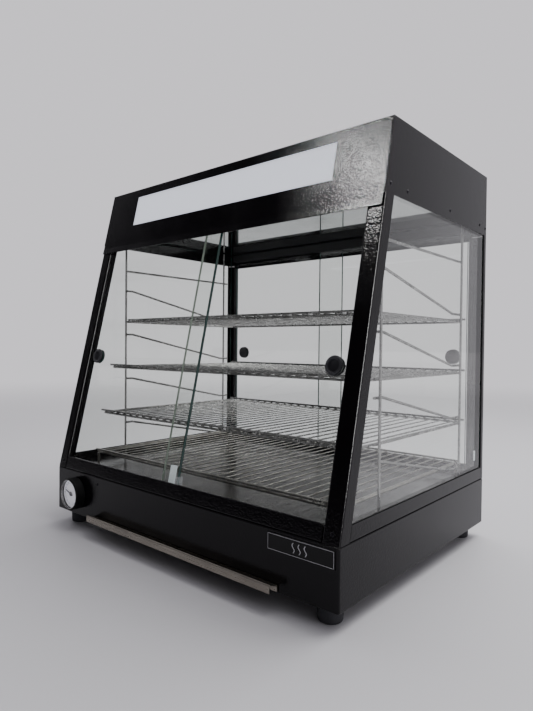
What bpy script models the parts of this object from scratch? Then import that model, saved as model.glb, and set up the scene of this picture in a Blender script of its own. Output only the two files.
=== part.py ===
# Countertop hot food display case, built as separate pieces.
# Sizes are in millimetres and the meshes are in metres. X runs to the right as seen from the
# front, +Y runs to the back and +Z runs up. Heights start at the table. In the sizes below, y is
# measured from the front face of the base, and the world origin is the middle of the footprint.

import math

import bmesh
import bpy
from mathutils import Matrix, Vector

MM = 0.001

# Case
WIDTH = 616.0
DEPTH = 450.0
HEIGHT = 620.0
HALF = WIDTH / 2
FOOT_HEIGHT = 24.0
BASE_TOP = 100.0
HEADER_BOTTOM = 519.0
LEAN = 0.2277  # how far the front goes back for each unit of height
TILT = math.atan(LEAN)
SHEET = 1.2
FOLD = 2.4
GAP = 0.3

# Posts and rails
POST_FACE = 25.0
POST_SIDE = 21.0
POST_RETURN = 14.0
REAR_POST_SIDE = 11.0
RAIL_TOP = 121.0
SIDE_RAIL_TOP = 120.0
OPENING = HALF - POST_FACE

# Header
FASCIA_STEP = 2.2
LIP_TOP = 512.4
LIP_BOTTOM = 502.0
LIP_FRONT = 88.8
SIGN_HALF = 223.5
SIGN_LOW, SIGN_HIGH = 549.5, 604.5
CEILING = 543.3
REAR_RAIL_LOW = 512.0

# Sliding doors. Depths are measured from the outside of the case inwards.
PANE = 4.0
OUTER_PANE = 4.0
INNER_PANE = 14.5
DOOR_EDGE = OPENING - 0.6
LEFT_DOOR_END = 19.0
RIGHT_DOOR_START = -31.0
PULL_X = 258.0
PULL_HEIGHT = 305.0
PULL_RADIUS = 13.2
PULL_HOLE = 10.2

# Wire ladders and racks
WIRE = 2.5
ROD = 2.1
LADDER_X = 284.5
RUNG_X = 280.0
FRONT_UPRIGHT, REAR_UPRIGHT = 129.0, 401.0
SUPPORTS = {"shelf_top": 371.0, "shelf_middle": 283.0, "shelf_lower": 197.0}
SHELF_FRONTS = {"shelf_top": 131.0, "shelf_middle": 91.0, "shelf_lower": 72.0}
SLOPED_RUNGS = (432.0, 346.0, 258.5, 171.5)
RUNG_DROP = 50.0
TOP_RUNG = 471.0
SHELF_REAR = 428.0
SHELF_HALF = 281.4
FLOOR_RACK_HALF = 276.0
SLOTS = 28
BAR = 3.0
FLOOR = 107.0
FLOOR_RACK = 127.0

# Crumb tray, off centre to the right
TRAY_LEFT, TRAY_RIGHT = -185.0, 220.0
TRAY_BACK = 406.0
TRAY_LOW, TRAY_TOP = 26.0, 33.2

# Front thermometer and rear controls
THERMO = (-243.0, 62.5)
NEEDLE_ANGLE = math.radians(157)
KNOB = (150.0, 62.0)
SWITCH_X = (58.0, 86.0)
SWITCH_Z = 62.0
ROCKER_TILT = math.radians(6)
GLAND = (-250.0, 55.0)

for old in list(bpy.data.objects):
    bpy.data.objects.remove(old, do_unlink=True)

scene = bpy.context.scene
parts = bpy.data.collections.new("hot_food_display_case")
cutters = bpy.data.collections.new("cutters")
scene.collection.children.link(parts)
scene.collection.children.link(cutters)


def finish(name, colour, roughness, metallic=0.0, alpha=1.0):
    mat = bpy.data.materials.new(name)
    mat.use_nodes = True
    shader = mat.node_tree.nodes["Principled BSDF"]
    shader.inputs["Base Color"].default_value = (*colour, 1.0)
    shader.inputs["Roughness"].default_value = roughness
    shader.inputs["Metallic"].default_value = metallic
    shader.inputs["Alpha"].default_value = alpha
    mat.diffuse_color = (*colour, alpha)
    return mat


BLACK = finish("black_powder_coat", (0.015, 0.014, 0.016), 0.35)
GLASS = finish("clear_glass", (0.8, 0.9, 0.87), 0.03, alpha=0.3)
OPAL = finish("opal_acrylic", (0.82, 0.84, 0.87), 0.3)
CHROME = finish("chromed_wire", (0.55, 0.55, 0.55), 0.2, 1.0)
STAINLESS = finish("stainless_steel", (0.55, 0.53, 0.5), 0.3, 1.0)
RUBBER = finish("black_rubber", (0.03, 0.03, 0.032), 0.7)
PLASTIC = finish("black_plastic", (0.02, 0.02, 0.022), 0.45)
CLEAR = finish("clear_plastic", (0.85, 0.88, 0.88), 0.1, alpha=0.5)
WHITE = finish("white_dial", (0.75, 0.75, 0.8), 0.5)
HEATER = finish("heater_sheath", (0.2, 0.17, 0.15), 0.5, 1.0)
LAMP = finish("lamp_glass", (0.9, 0.9, 0.88), 0.25)


# Making shapes


def at(x, y, z):
    # A place in the case, y measured from the front face of the base.
    return Vector((x, y - DEPTH / 2, z)) * MM


def front(z):
    # The y of the leaning front face at a height.
    return LEAN * (z - BASE_TOP)


# The leaning front's own frame: x to the right, y into the case, z up along the lean.
SLOPE = Matrix.Translation(at(0, 0, BASE_TOP)) @ Matrix.Rotation(-TILT, 4, "X")


def up_slope(z, depth):
    # How far up the slope a point at this height and depth lies.
    return (z - BASE_TOP + depth * math.sin(TILT)) / math.cos(TILT)


def leaning(x, depth, along):
    # Placement of a local +Z axis that points out of the leaning front.
    return SLOPE @ Matrix.Translation(Vector((x, depth, along)) * MM) @ Matrix.Rotation(math.pi / 2, 4, "X")


def facing_front(x, y, z):
    return Matrix.Translation(at(x, y, z)) @ Matrix.Rotation(math.pi / 2, 4, "X")


def facing_back(x, y, z):
    return Matrix.Translation(at(x, y, z)) @ Matrix.Rotation(-math.pi / 2, 4, "X")


def add(name, data, mat=None, matrix=None):
    obj = bpy.data.objects.new(name, data)
    if mat is None:
        cutters.objects.link(obj)
        obj.hide_render = True
        obj.display_type = "WIRE"
    else:
        parts.objects.link(obj)
        data.materials.append(mat)
    if matrix is not None:
        obj.matrix_world = matrix
    return obj


def to_mesh(name, bm):
    data = bpy.data.meshes.new(name)
    bm.to_mesh(data)
    bm.free()
    return data


def block(name, low, high, mat=None, slope=False):
    # A box between two corners, in the case or, with slope, in the leaning front's own frame.
    bm = bmesh.new()
    bmesh.ops.create_cube(bm, size=1.0)
    size = [b - a for a, b in zip(low, high)]
    middle = [(a + b) / 2 for a, b in zip(low, high)]
    bmesh.ops.scale(bm, vec=Vector(size) * MM, verts=bm.verts)
    matrix = SLOPE @ Matrix.Translation(Vector(middle) * MM) if slope else Matrix.Translation(at(*middle))
    return add(name, to_mesh(name, bm), mat, matrix)


def boolean(obj, other, operation):
    mod = obj.modifiers.new(operation.lower(), "BOOLEAN")
    mod.operation = operation
    mod.solver = "EXACT"
    mod.object = other
    return obj


def cut(obj, *tools):
    for tool in tools:
        boolean(obj, tool, "DIFFERENCE")
    return obj


def weld(obj, *others):
    for other in others:
        boolean(obj, other, "UNION")
    return obj


def folded(points, radius=FOLD, steps=3, closed=False):
    # Rounds the corners of a folded sheet's outline.
    out = []
    count = len(points)
    for i, point in enumerate(points):
        here = Vector(point)
        if not closed and i in (0, count - 1):
            out.append(here)
            continue
        before = (Vector(points[i - 1]) - here).normalized()
        after = (Vector(points[(i + 1) % count]) - here).normalized()
        half_angle = before.angle(after) / 2
        reach = radius / math.tan(half_angle)
        centre = here + (before + after).normalized() * radius / math.sin(half_angle)
        start = here + before * reach - centre
        end = here + after * reach - centre
        for step in range(steps + 1):
            share = step / steps
            out.append(centre + (start * (1 - share) + end * share).normalized() * radius)
    return out


def sheet(name, outline, place, run, outward, mat, closed=False, thick=SHEET, corners=FOLD):
    # A folded sheet: its outline is drawn by place, swept along run, and given its thickness
    # on the inside. outward is a direction that the first face looks towards.
    bm = bmesh.new()
    points = [bm.verts.new(place(*p)) for p in folded(outline, corners, closed=closed)]
    ends = points[1:] + points[:1] if closed else points[1:]
    edges = [bm.edges.new((a, b)) for a, b in zip(points, ends)]
    swept = bmesh.ops.extrude_edge_only(bm, edges=edges)["geom"]
    bmesh.ops.translate(bm, vec=run, verts=[v for v in swept if isinstance(v, bmesh.types.BMVert)])
    bmesh.ops.recalc_face_normals(bm, faces=bm.faces)
    bm.normal_update()
    if edges[0].link_faces[0].normal.dot(Vector(outward)) < 0:
        bmesh.ops.reverse_faces(bm, faces=bm.faces)
    obj = add(name, to_mesh(name, bm), mat)
    mod = obj.modifiers.new("thickness", "SOLIDIFY")
    mod.thickness = thick * MM
    mod.offset = -1
    mod.use_even_offset = True
    return obj


def plate(name, outline, thick, mat, matrix, holes=()):
    # A flat piece: a filled outline with holes, centred on its thickness.
    curve = bpy.data.curves.new(name, "CURVE")
    curve.dimensions = "2D"
    curve.fill_mode = "BOTH"
    curve.extrude = thick / 2 * MM
    for loop in (outline, *holes):
        spline = curve.splines.new("POLY")
        spline.points.add(len(loop) - 1)
        for point, (x, y) in zip(spline.points, loop):
            point.co = (x * MM, y * MM, 0, 1)
        spline.use_cyclic_u = True
    return add(name, as_mesh(curve), mat, matrix)


def as_mesh(curve):
    # Makes a curve a welded mesh, because a curve takes no Boolean.
    holder = bpy.data.objects.new(curve.name, curve)
    scene.collection.objects.link(holder)
    bpy.context.view_layer.update()
    data = bpy.data.meshes.new_from_object(holder.evaluated_get(bpy.context.evaluated_depsgraph_get()))
    bpy.data.objects.remove(holder)
    bm = bmesh.new()
    bm.from_mesh(data)
    bmesh.ops.remove_doubles(bm, verts=bm.verts, dist=1e-6)
    bm.to_mesh(data)
    bm.free()
    data.materials.clear()
    return data


def wires(name, runs, radius, mat=None, resolution=1):
    # Round wires along lists of points, all in one mesh.
    curve = bpy.data.curves.new(name, "CURVE")
    curve.dimensions = "3D"
    curve.bevel_depth = radius * MM
    curve.bevel_resolution = resolution
    curve.use_fill_caps = True
    for run in runs:
        spline = curve.splines.new("POLY")
        spline.points.add(len(run) - 1)
        for point, place in zip(spline.points, run):
            point.co = (*at(*place), 1)
    return add(name, as_mesh(curve), mat)


def turned(name, profile, matrix, mat=None, steps=32, ring=False):
    # A turned piece. Its profile of (radius, height) pairs runs down the outer side, and a
    # ring's profile then comes back up the inner side.
    bm = bmesh.new()
    points = [bm.verts.new(Vector((r, 0, h)) * MM) for r, h in profile]
    for a, b in zip(points, points[1:]):
        bm.edges.new((a, b))
    if ring:
        bm.edges.new((points[-1], points[0]))
    obj = add(name, to_mesh(name, bm), mat, matrix)
    mod = obj.modifiers.new("turn", "SCREW")
    mod.axis = "Z"
    mod.steps = steps
    mod.render_steps = steps
    mod.use_merge_vertices = True
    mod.merge_threshold = 0.00001
    mod.use_smooth_shade = True
    return obj


def drill(name, radius, length, matrix, steps=24):
    # A round cutter, centred on its placement.
    return turned(name, [(0, length / 2), (radius, length / 2), (radius, -length / 2), (0, -length / 2)], matrix, steps=steps)


SIDES = {"left": -1, "right": 1}


# Base


def make_base():
    corners = [(-HALF, 0), (HALF, 0), (HALF, DEPTH), (-HALF, DEPTH)]
    wall_top = BASE_TOP - GAP
    shell = sheet(
        "base_shell",
        corners,
        lambda x, y: at(x, y, FOOT_HEIGHT),
        Vector((0, 0, (wall_top - FOOT_HEIGHT) * MM)),
        (-1, 1, 0),
        BLACK,
        closed=True,
    )
    cut(
        shell,
        block("tray_slot", (TRAY_LEFT + 0.5, -4, TRAY_LOW - 0.5), (TRAY_RIGHT - 0.5, 4, TRAY_TOP + 0.5)),
        drill("thermometer_hole", 8, 10, facing_front(THERMO[0], 0, THERMO[1])),
        drill("shaft_hole", 4.5, 10, facing_back(KNOB[0], DEPTH, KNOB[1])),
        drill("gland_hole", 9, 10, facing_back(GLAND[0], DEPTH, GLAND[1])),
        block("switch_hole", (SWITCH_X[0] - 15, DEPTH - 4, 49), (SWITCH_X[1] + 15, DEPTH + 4, 75)),
    )
    for row in range(5):
        height = 44 + 8 * row
        cut(shell, block(f"vent_{row}", (-150, DEPTH - 4, height), (-60, DEPTH + 4, height + 3)))
    inset = SHEET + 0.6
    block(
        "base_bottom",
        (-HALF + inset, inset, FOOT_HEIGHT + GAP),
        (HALF - inset, DEPTH - inset, FOOT_HEIGHT + GAP + 1.0),
        BLACK,
    )
    foot = [(0, 0), (17, 0), (17, -3), (16, -FOOT_HEIGHT + 1), (15, -FOOT_HEIGHT), (0, -FOOT_HEIGHT)]
    for row, y in (("front", 28), ("rear", DEPTH - 28)):
        for side, sign in SIDES.items():
            turned(f"foot_{row}_{side}", foot, Matrix.Translation(at(sign * 278, y, FOOT_HEIGHT)), RUBBER, 24)


def make_crumb_tray():
    # The pan slides through a slot in the front panel. Its front wall stands outside the
    # panel and folds out and down into a finger grip.
    grip = sheet(
        "crumb_tray",
        [(-1.6, TRAY_LOW - 0.8), (-1.6, TRAY_TOP), (-17.0, 38.6), (-17.0, 27.2)],
        lambda y, z: at(TRAY_LEFT, y, z),
        Vector(((TRAY_RIGHT - TRAY_LEFT) * MM, 0, 0)),
        (0, -1, 0),
        STAINLESS,
        thick=1.0,
        corners=1.4,
    )
    left, right = TRAY_LEFT + 1.5, TRAY_RIGHT - 1.5
    pan = block("tray_pan", (left, -1.3, TRAY_LOW), (right, TRAY_BACK, TRAY_TOP))
    inside = block("tray_inside", (left + 1, -0.3, TRAY_LOW + 1), (right - 1, TRAY_BACK - 1, TRAY_TOP + 5))
    cut(pan, inside)
    weld(grip, pan)
    clear = 2.4
    sheet(
        "tray_guide",
        [
            (left - clear, 30),
            (left - clear, TRAY_BACK + clear),
            (right + clear, TRAY_BACK + clear),
            (right + clear, 30),
        ],
        lambda x, y: at(x, y, FOOT_HEIGHT + 1.6),
        Vector((0, 0, 10 * MM)),
        (-1, 0, 0),
        STAINLESS,
        thick=1.0,
    )


def make_heater():
    # A sheathed element in four runs, on a bridge that stands over the crumb tray.
    height, radius, bend = 62.0, 4.0, 25.0
    left, right, first = -190.0, 215.0, 150.0
    run = []
    for i in range(4):
        y = first + 2 * bend * i
        ends = (left, right) if i % 2 == 0 else (right, left)
        run += [(ends[0], y, height), (ends[1], y, height)]
        if i < 3:
            way = 1 if i % 2 == 0 else -1
            for step in range(1, 8):
                angle = math.pi * step / 8 - math.pi / 2
                run.append((ends[1] + way * bend * math.cos(angle), y + bend + bend * math.sin(angle), height))
    run[0] = (left - 30, first, height)
    run[-1] = (left - 30, first + 6 * bend, height)
    wires("heating_element", [run], radius, HEATER)
    top = height - radius - GAP
    sheet(
        "element_bridge",
        [(-226, FOOT_HEIGHT + 1.6), (-226, top), (258, top), (258, FOOT_HEIGHT + 1.6)],
        lambda x, z: at(x, 215, z),
        Vector((0, 20 * MM, 0)),
        (-1, 0, 0),
        STAINLESS,
        thick=1.5,
    )


# Posts and rails


def make_frame():
    low, high = BASE_TOP + GAP, HEADER_BOTTOM - GAP
    rise = high - low
    for side, sign in SIDES.items():
        sheet(
            f"post_front_{side}",
            [
                (sign * OPENING, front(low) + POST_RETURN),
                (sign * OPENING, front(low)),
                (sign * HALF, front(low)),
                (sign * HALF, front(low) + POST_SIDE),
            ],
            lambda x, y: at(x, y, low),
            Vector((0, LEAN * rise, rise)) * MM,
            (-sign, 0, 0),
            BLACK,
        )
        sheet(
            f"post_rear_{side}",
            [
                (sign * OPENING, DEPTH - POST_RETURN),
                (sign * OPENING, DEPTH),
                (sign * HALF, DEPTH),
                (sign * HALF, DEPTH - REAR_POST_SIDE),
            ],
            lambda x, y: at(x, y, low),
            Vector((0, 0, rise)) * MM,
            (-sign, 0, 0),
            BLACK,
        )
        start = POST_SIDE + 0.4
        rail = sheet(
            f"rail_side_{side}",
            [
                (sign * (HALF - 20), low),
                (sign * HALF, low),
                (sign * HALF, SIDE_RAIL_TOP),
            ],
            lambda x, z: at(x, start, z),
            Vector((0, (DEPTH - REAR_POST_SIDE - 0.4 - start) * MM, 0)),
            (0, 0, -1),
            BLACK,
        )
        # The front end of the rail follows the leaning post.
        for vertex in rail.data.vertices:
            if vertex.co.y < at(0, start + 1, 0).y:
                vertex.co.y += LEAN * (vertex.co.z - BASE_TOP * MM)
    span = OPENING - 0.6
    along = Vector((2 * span * MM, 0, 0))
    sheet(
        "rail_front",
        [(25, low), (front(low), low), (front(RAIL_TOP), RAIL_TOP), (front(RAIL_TOP) + 3.0, RAIL_TOP)],
        lambda y, z: at(-span, y, z),
        along,
        (0, 0, -1),
        BLACK,
        corners=2.0,
    )
    sheet(
        "rail_rear",
        [(DEPTH - 26, low), (DEPTH, low), (DEPTH, RAIL_TOP), (DEPTH - 3.2, RAIL_TOP)],
        lambda y, z: at(-span, y, z),
        along,
        (0, 0, -1),
        BLACK,
        corners=2.0,
    )
    back = DEPTH - SHEET - 0.4
    block("rail_top_rear", (-span, back - SHEET, REAR_RAIL_LOW), (span, back, CEILING - 1.0), BLACK)


# Header


def make_header():
    inner = HALF - SHEET - 0.4
    cover = sheet(
        "header_cover",
        [
            (LIP_FRONT, LIP_BOTTOM),
            (front(LIP_TOP) - FASCIA_STEP, LIP_TOP),
            (front(HEIGHT) - FASCIA_STEP, HEIGHT),
            (DEPTH, HEIGHT),
            (DEPTH, HEADER_BOTTOM),
        ],
        lambda y, z: at(-inner, y, z),
        Vector((2 * inner * MM, 0, 0)),
        (0, -1, 0),
        BLACK,
    )
    low, high = up_slope(SIGN_LOW, -FASCIA_STEP), up_slope(SIGN_HIGH, -FASCIA_STEP)
    cut(cover, block("sign_window", (-SIGN_HALF, -8, low), (SIGN_HALF, 5, high), slope=True))
    behind = -FASCIA_STEP * math.cos(TILT) + SHEET + 0.4
    block(
        "sign_panel",
        (-SIGN_HALF - 8, behind, low - 8),
        (SIGN_HALF + 8, behind + 3, high + 8),
        OPAL,
        slope=True,
    )
    outline = [
        (front(HEADER_BOTTOM) - FASCIA_STEP, HEADER_BOTTOM),
        (DEPTH, HEADER_BOTTOM),
        (DEPTH, HEIGHT),
        (front(HEIGHT) - FASCIA_STEP, HEIGHT),
    ]
    # The outline's first axis runs along Y and its second runs up.
    upright = Matrix.Rotation(math.pi / 2, 4, "Z") @ Matrix.Rotation(math.pi / 2, 4, "X")
    for side, sign in SIDES.items():
        plate(
            f"header_side_{side}",
            outline,
            SHEET,
            BLACK,
            Matrix.Translation(at(sign * (HALF - SHEET / 2), 0, 0)) @ upright,
        )
        rear = DEPTH - SHEET - 2.3
        low_edge = BASE_TOP + 3
        plate(
            f"side_glass_{side}",
            [
                (front(low_edge) + 5, low_edge),
                (rear, low_edge),
                (rear, CEILING - 2.3),
                (front(CEILING - 2.3) + 5, CEILING - 2.3),
            ],
            PANE,
            GLASS,
            Matrix.Translation(at(sign * (HALF - SHEET - 0.5 - PANE / 2), 0, 0)) @ upright,
        )
    block("ceiling_panel", (-HALF + 2.2, 106, CEILING), (HALF - 2.2, DEPTH - 2.5, CEILING + 1), STAINLESS)
    make_lamp()


def make_lamp():
    # A strip lamp behind the sign panel, between the ends of its fitting.
    y, z, reach = 158.0, 576.0, 260.0
    tube = [(0, reach), (6, reach), (8, reach - 4), (8, 4 - reach), (6, -reach), (0, -reach)]
    place = Matrix.Translation(at(0, y, z)) @ Matrix.Rotation(math.pi / 2, 4, "Y")
    turned("lamp_tube", tube, place, LAMP, 16)
    fitting = block("lamp_fitting", (-reach - 12, y + 26, z - 15), (reach + 12, y + 44, z + 15), STAINLESS)
    for side, sign in SIDES.items():
        ends = sorted((sign * (reach + 0.6), sign * (reach + 9)))
        weld(fitting, block(f"lamp_end_{side}", (ends[0], y - 12, z - 12), (ends[1], y + 28, z + 12)))
    weld(fitting, block("lamp_foot", (-reach, y + 30, CEILING + 1 + GAP), (reach, y + 40, z)))


# Doors


def make_track(name, low, high, grooves, slope, up):
    # A channel with two grooves that open upwards or downwards.
    track = block(name, low, high, PLASTIC, slope)
    wall = 1.4
    for i, (start, end) in enumerate(grooves):
        groove_low = low[2] + wall if up else low[2] - 5
        groove_high = high[2] + 5 if up else high[2] - wall
        cutter = block(
            f"{name}_groove_{i}", (low[0] - 5, start, groove_low), (high[0] + 5, end, groove_high), None, slope
        )
        cut(track, cutter)


def make_pull(name, matrix):
    # A round finger pull through the pane's hole: ring, recess and back flange. Local z=0 is
    # the pane's outer face.
    front_face, back = 3.9, -PANE - GAP - 1.2
    profile = [
        (0, -2.5),
        (7.6, -2.5),
        (8.6, -1.5),
        (8.6, front_face - 1.0),
        (9.8, front_face),
        (PULL_RADIUS - 1.2, front_face),
        (PULL_RADIUS, front_face - 1.2),
        (PULL_RADIUS, GAP),
        (PULL_HOLE - GAP, GAP),
        (PULL_HOLE - GAP, -PANE - GAP),
        (PULL_RADIUS - 0.7, -PANE - GAP),
        (PULL_RADIUS - 0.7, back),
        (0, back),
    ]
    turned(name, profile, matrix, PLASTIC, 28)


def make_doors():
    span = OPENING - 0.8
    margin = 0.5
    outer = (OUTER_PANE - margin, OUTER_PANE + PANE + margin)
    inner = (INNER_PANE - margin, INNER_PANE + PANE + margin)
    skin = 0.9
    near, far = outer[0] - skin, inner[1] + skin
    low_v, high_v = 7.4, 440.0
    make_track("track_front_low", (-span, near, low_v), (span, far, low_v + 9.6), (outer, inner), True, True)
    make_track("track_front_top", (-span, near, high_v - 12), (span, far, high_v), (outer, inner), True, False)
    flip = [tuple(DEPTH - d for d in reversed(pair)) for pair in (outer, inner)]
    low_z, high_z = BASE_TOP + 2.2, CEILING - 2.3
    back_near, back_far = DEPTH - far, DEPTH - near - 0.6
    make_track("track_rear_low", (-span, back_near, low_z), (span, back_far, low_z + 9.8), flip, False, True)
    make_track("track_rear_top", (-span, back_near, high_z - 16), (span, back_far, high_z), flip, False, False)

    spans = {
        "left": (-DOOR_EDGE, LEFT_DOOR_END, OUTER_PANE),
        "right": (RIGHT_DOOR_START, DOOR_EDGE, INNER_PANE),
    }
    pull_v = (PULL_HEIGHT - BASE_TOP) / math.cos(TILT)
    for side, (start, end, depth) in spans.items():
        x = SIDES[side] * PULL_X
        pane = block(
            f"door_front_{side}",
            (start, depth, low_v + 1.7),
            (end, depth + PANE, high_v - 2.2),
            GLASS,
            slope=True,
        )
        place = leaning(x, depth, pull_v)
        cut(pane, drill(f"pull_hole_front_{side}", PULL_HOLE, 3 * PANE, place))
        make_pull(f"pull_front_{side}", place)

        rear_face = DEPTH - depth
        pane = block(
            f"door_rear_{side}",
            (start, rear_face - PANE, low_z + 1.7),
            (end, rear_face, high_z - 4),
            GLASS,
        )
        place = facing_back(x, rear_face, PULL_HEIGHT + 5)
        cut(pane, drill(f"pull_hole_rear_{side}", PULL_HOLE, 3 * PANE, place))
        make_pull(f"pull_rear_{side}", place)
    block("door_centre_stop", (-22, far + 0.4, 9), (-10, far + 4.4, 46), CLEAR, slope=True)


# Wire ladders and racks


def make_ladders():
    reach, bend = 10.0, 27.0
    for side, sign in SIDES.items():
        uprights = [
            [(sign * LADDER_X, y, FLOOR + 0.5), (sign * LADDER_X, y, CEILING - 4)]
            for y in (FRONT_UPRIGHT, REAR_UPRIGHT)
        ]
        ends = (FRONT_UPRIGHT - reach, REAR_UPRIGHT + reach)
        bends = (FRONT_UPRIGHT + bend, REAR_UPRIGHT - bend)
        rungs = []
        for z in (CEILING - 10, TOP_RUNG, *SUPPORTS.values()):
            rungs.append([(sign * RUNG_X, ends[0], z), (sign * RUNG_X, ends[1], z)])
        for z in SLOPED_RUNGS:
            low = z - RUNG_DROP
            run = [(ends[0], z), (bends[0], z), (bends[1], low), (ends[1], low)]
            rungs.append([(sign * RUNG_X, y, height) for y, height in run])
        ladder = wires(f"ladder_{side}", uprights, WIRE, CHROME)
        weld(ladder, wires(f"rungs_{side}", rungs, WIRE))


def rectangle(x0, y0, x1, y1):
    return [(x0, y0), (x1, y0), (x1, y1), (x0, y1)]


def make_rack(name, height, front_edge, half):
    # A grid of wires from front to back, and a second rod under its front and rear edges.
    edge, thick = 4.6, 4.0
    pitch = 2 * (half - edge + BAR / 2) / SLOTS
    start = -half + edge
    slots = [
        rectangle(start + pitch * i, front_edge + edge, start + pitch * (i + 1) - BAR, SHELF_REAR - edge)
        for i in range(SLOTS)
    ]
    outline = rectangle(-half, front_edge, half, SHELF_REAR)
    place = Matrix.Translation(at(0, 0, height + thick / 2))
    rack = plate(name, outline, thick, CHROME, place, slots)
    rods = [
        [(7 - half, y, height - 1.8), (half - 7, y, height - 1.8)]
        for y in (front_edge + 2.3, SHELF_REAR - 2.3)
    ]
    return weld(rack, wires(f"{name}_rods", rods, ROD))


def make_racks():
    for name, support in SUPPORTS.items():
        make_rack(name, support + WIRE + GAP, SHELF_FRONTS[name], SHELF_HALF)
    front_edge = 59.0
    rack = make_rack("floor_rack", FLOOR_RACK, front_edge, FLOOR_RACK_HALF)
    legs = [
        [(x, y, FLOOR + 0.4), (x, y, FLOOR_RACK + 2)]
        for x in (2.3 - FLOOR_RACK_HALF, FLOOR_RACK_HALF - 2.3)
        for y in (front_edge + 2.3, SHELF_REAR - 2.3)
    ]
    weld(rack, wires("floor_rack_legs", legs, ROD))
    low = BASE_TOP + GAP + SHEET + GAP
    pan = block("floor_pan", (-301, 27, low), (301, 429, FLOOR), STAINLESS)
    cut(pan, block("floor_pan_inside", (-300, 28, low - 5), (300, 428, FLOOR - 1)))


# Thermometer, badge and controls


def make_thermometer():
    place = facing_front(THERMO[0], 0, THERMO[1])
    seat, rim = 11.0, 14.0
    case = [(0, seat), (24.4, seat), (24.4, rim), (27, rim), (27.6, 2), (27.6, GAP), (5, GAP), (5, -12), (0, -12)]
    turned("thermometer_case", case, place, PLASTIC, 40)
    dial = [(0, seat + 1.0), (24.0, seat + 1.0), (24.0, seat + GAP), (0, seat + GAP)]
    turned("thermometer_dial", dial, place, WHITE, 40)
    lens = [(0, 16.0), (24.0, 16.0), (24.0, 14.6), (0, 14.6)]
    turned("thermometer_lens", lens, place, CLEAR, 40)
    bezel = [(23.2, 17.4), (24.0, 18), (26.2, 18), (27.4, 16.8), (27.4, 14.3), (24.3, 14.3), (24.3, 16.3), (23.2, 16.3)]
    turned("thermometer_bezel", bezel, place, STAINLESS, 40, ring=True)
    hub = [(0, 13.8), (2.4, 13.8), (2.8, 13.4), (2.8, 12.4), (0, 12.4)]
    needle = turned("thermometer_pointer", hub, place, PLASTIC, 16)
    outline = [(0, -1.1), (17.5, -0.35), (17.5, 0.35), (0, 1.1), (-6, 1.0), (-6, -1.0)]
    turn = Matrix.Translation(Vector((0, 0, 13.1 * MM))) @ Matrix.Rotation(NEEDLE_ANGLE, 4, "Z")
    blade = plate("pointer_blade", outline, 0.8, None, place @ turn)
    weld(needle, blade)


def make_badge():
    block("badge_plate", (201.6, -1.1, 73.3), (303.1, -GAP, 96.4), BLACK)


def make_controls():
    place = facing_back(KNOB[0], DEPTH, KNOB[1])
    body = block("thermostat_body", (KNOB[0] - 17, DEPTH - 42, 46), (KNOB[0] + 17, DEPTH - SHEET - 0.6, 80), PLASTIC)
    shaft = [(0, 11), (3, 11), (3, -8), (0, -8)]
    weld(body, turned("thermostat_shaft", shaft, place, None, 16))
    knob = [
        (0, 18),
        (13.0, 18),
        (14.5, 16.5),
        (16, 6),
        (20, 4.5),
        (20, 1.0),
        (3.4, 1.0),
        (3.4, 13),
        (0, 13),
    ]
    dial = turned("thermostat_knob", knob, place, PLASTIC, 32)
    ridge = block("knob_ridge", (KNOB[0] - 1.6, DEPTH + 4, KNOB[1] + 8), (KNOB[0] + 1.6, DEPTH + 17.6, KNOB[1] + 18.6))
    weld(dial, ridge)

    left, right = SWITCH_X[0] - 14, SWITCH_X[1] + 14
    frame = block("switch_frame", (left, DEPTH - 20, 50), (right, DEPTH + 1, 74), PLASTIC)
    weld(frame, block("switch_flange", (left - 4, DEPTH + GAP, 46), (right + 4, DEPTH + 2.3, 78)))
    pivot = DEPTH - 4
    shape = [(-3, -8.4), (8.4, -8.4), (6.4, 0), (8.4, 8.4), (-3, 8.4)]
    turn = Matrix.Rotation(math.pi / 2, 4, "Z") @ Matrix.Rotation(math.pi / 2, 4, "X")
    for name, x in zip(("power", "lamp"), SWITCH_X):
        low = (x - 11, pivot - 6.5, SWITCH_Z - 9.8)
        high = (x + 11, DEPTH + 6, SWITCH_Z + 9.8)
        cut(frame, block(f"{name}_pocket", low, high))
        place = Matrix.Translation(at(x, pivot, SWITCH_Z)) @ Matrix.Rotation(ROCKER_TILT, 4, "X") @ turn
        plate(f"rocker_{name}", shape, 20.6, PLASTIC, place)

    gland = [
        (6.5, 15),
        (8.5, 12),
        (9.5, 6),
        (13, 5),
        (13, GAP),
        (8.6, GAP),
        (8.6, -6),
        (4, -6),
        (4, 15),
    ]
    turned("cable_gland", gland, facing_back(GLAND[0], DEPTH, GLAND[1]), PLASTIC, 24, ring=True)


make_base()
make_crumb_tray()
make_heater()
make_frame()
make_header()
make_doors()
make_ladders()
make_racks()
make_thermometer()
make_badge()
make_controls()

for obj in parts.objects:
    obj.data.shade_smooth()
    obj.data.set_sharp_from_angle(angle=math.radians(35))
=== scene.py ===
import math

import bmesh
import bpy
from mathutils import Matrix, Vector


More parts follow.
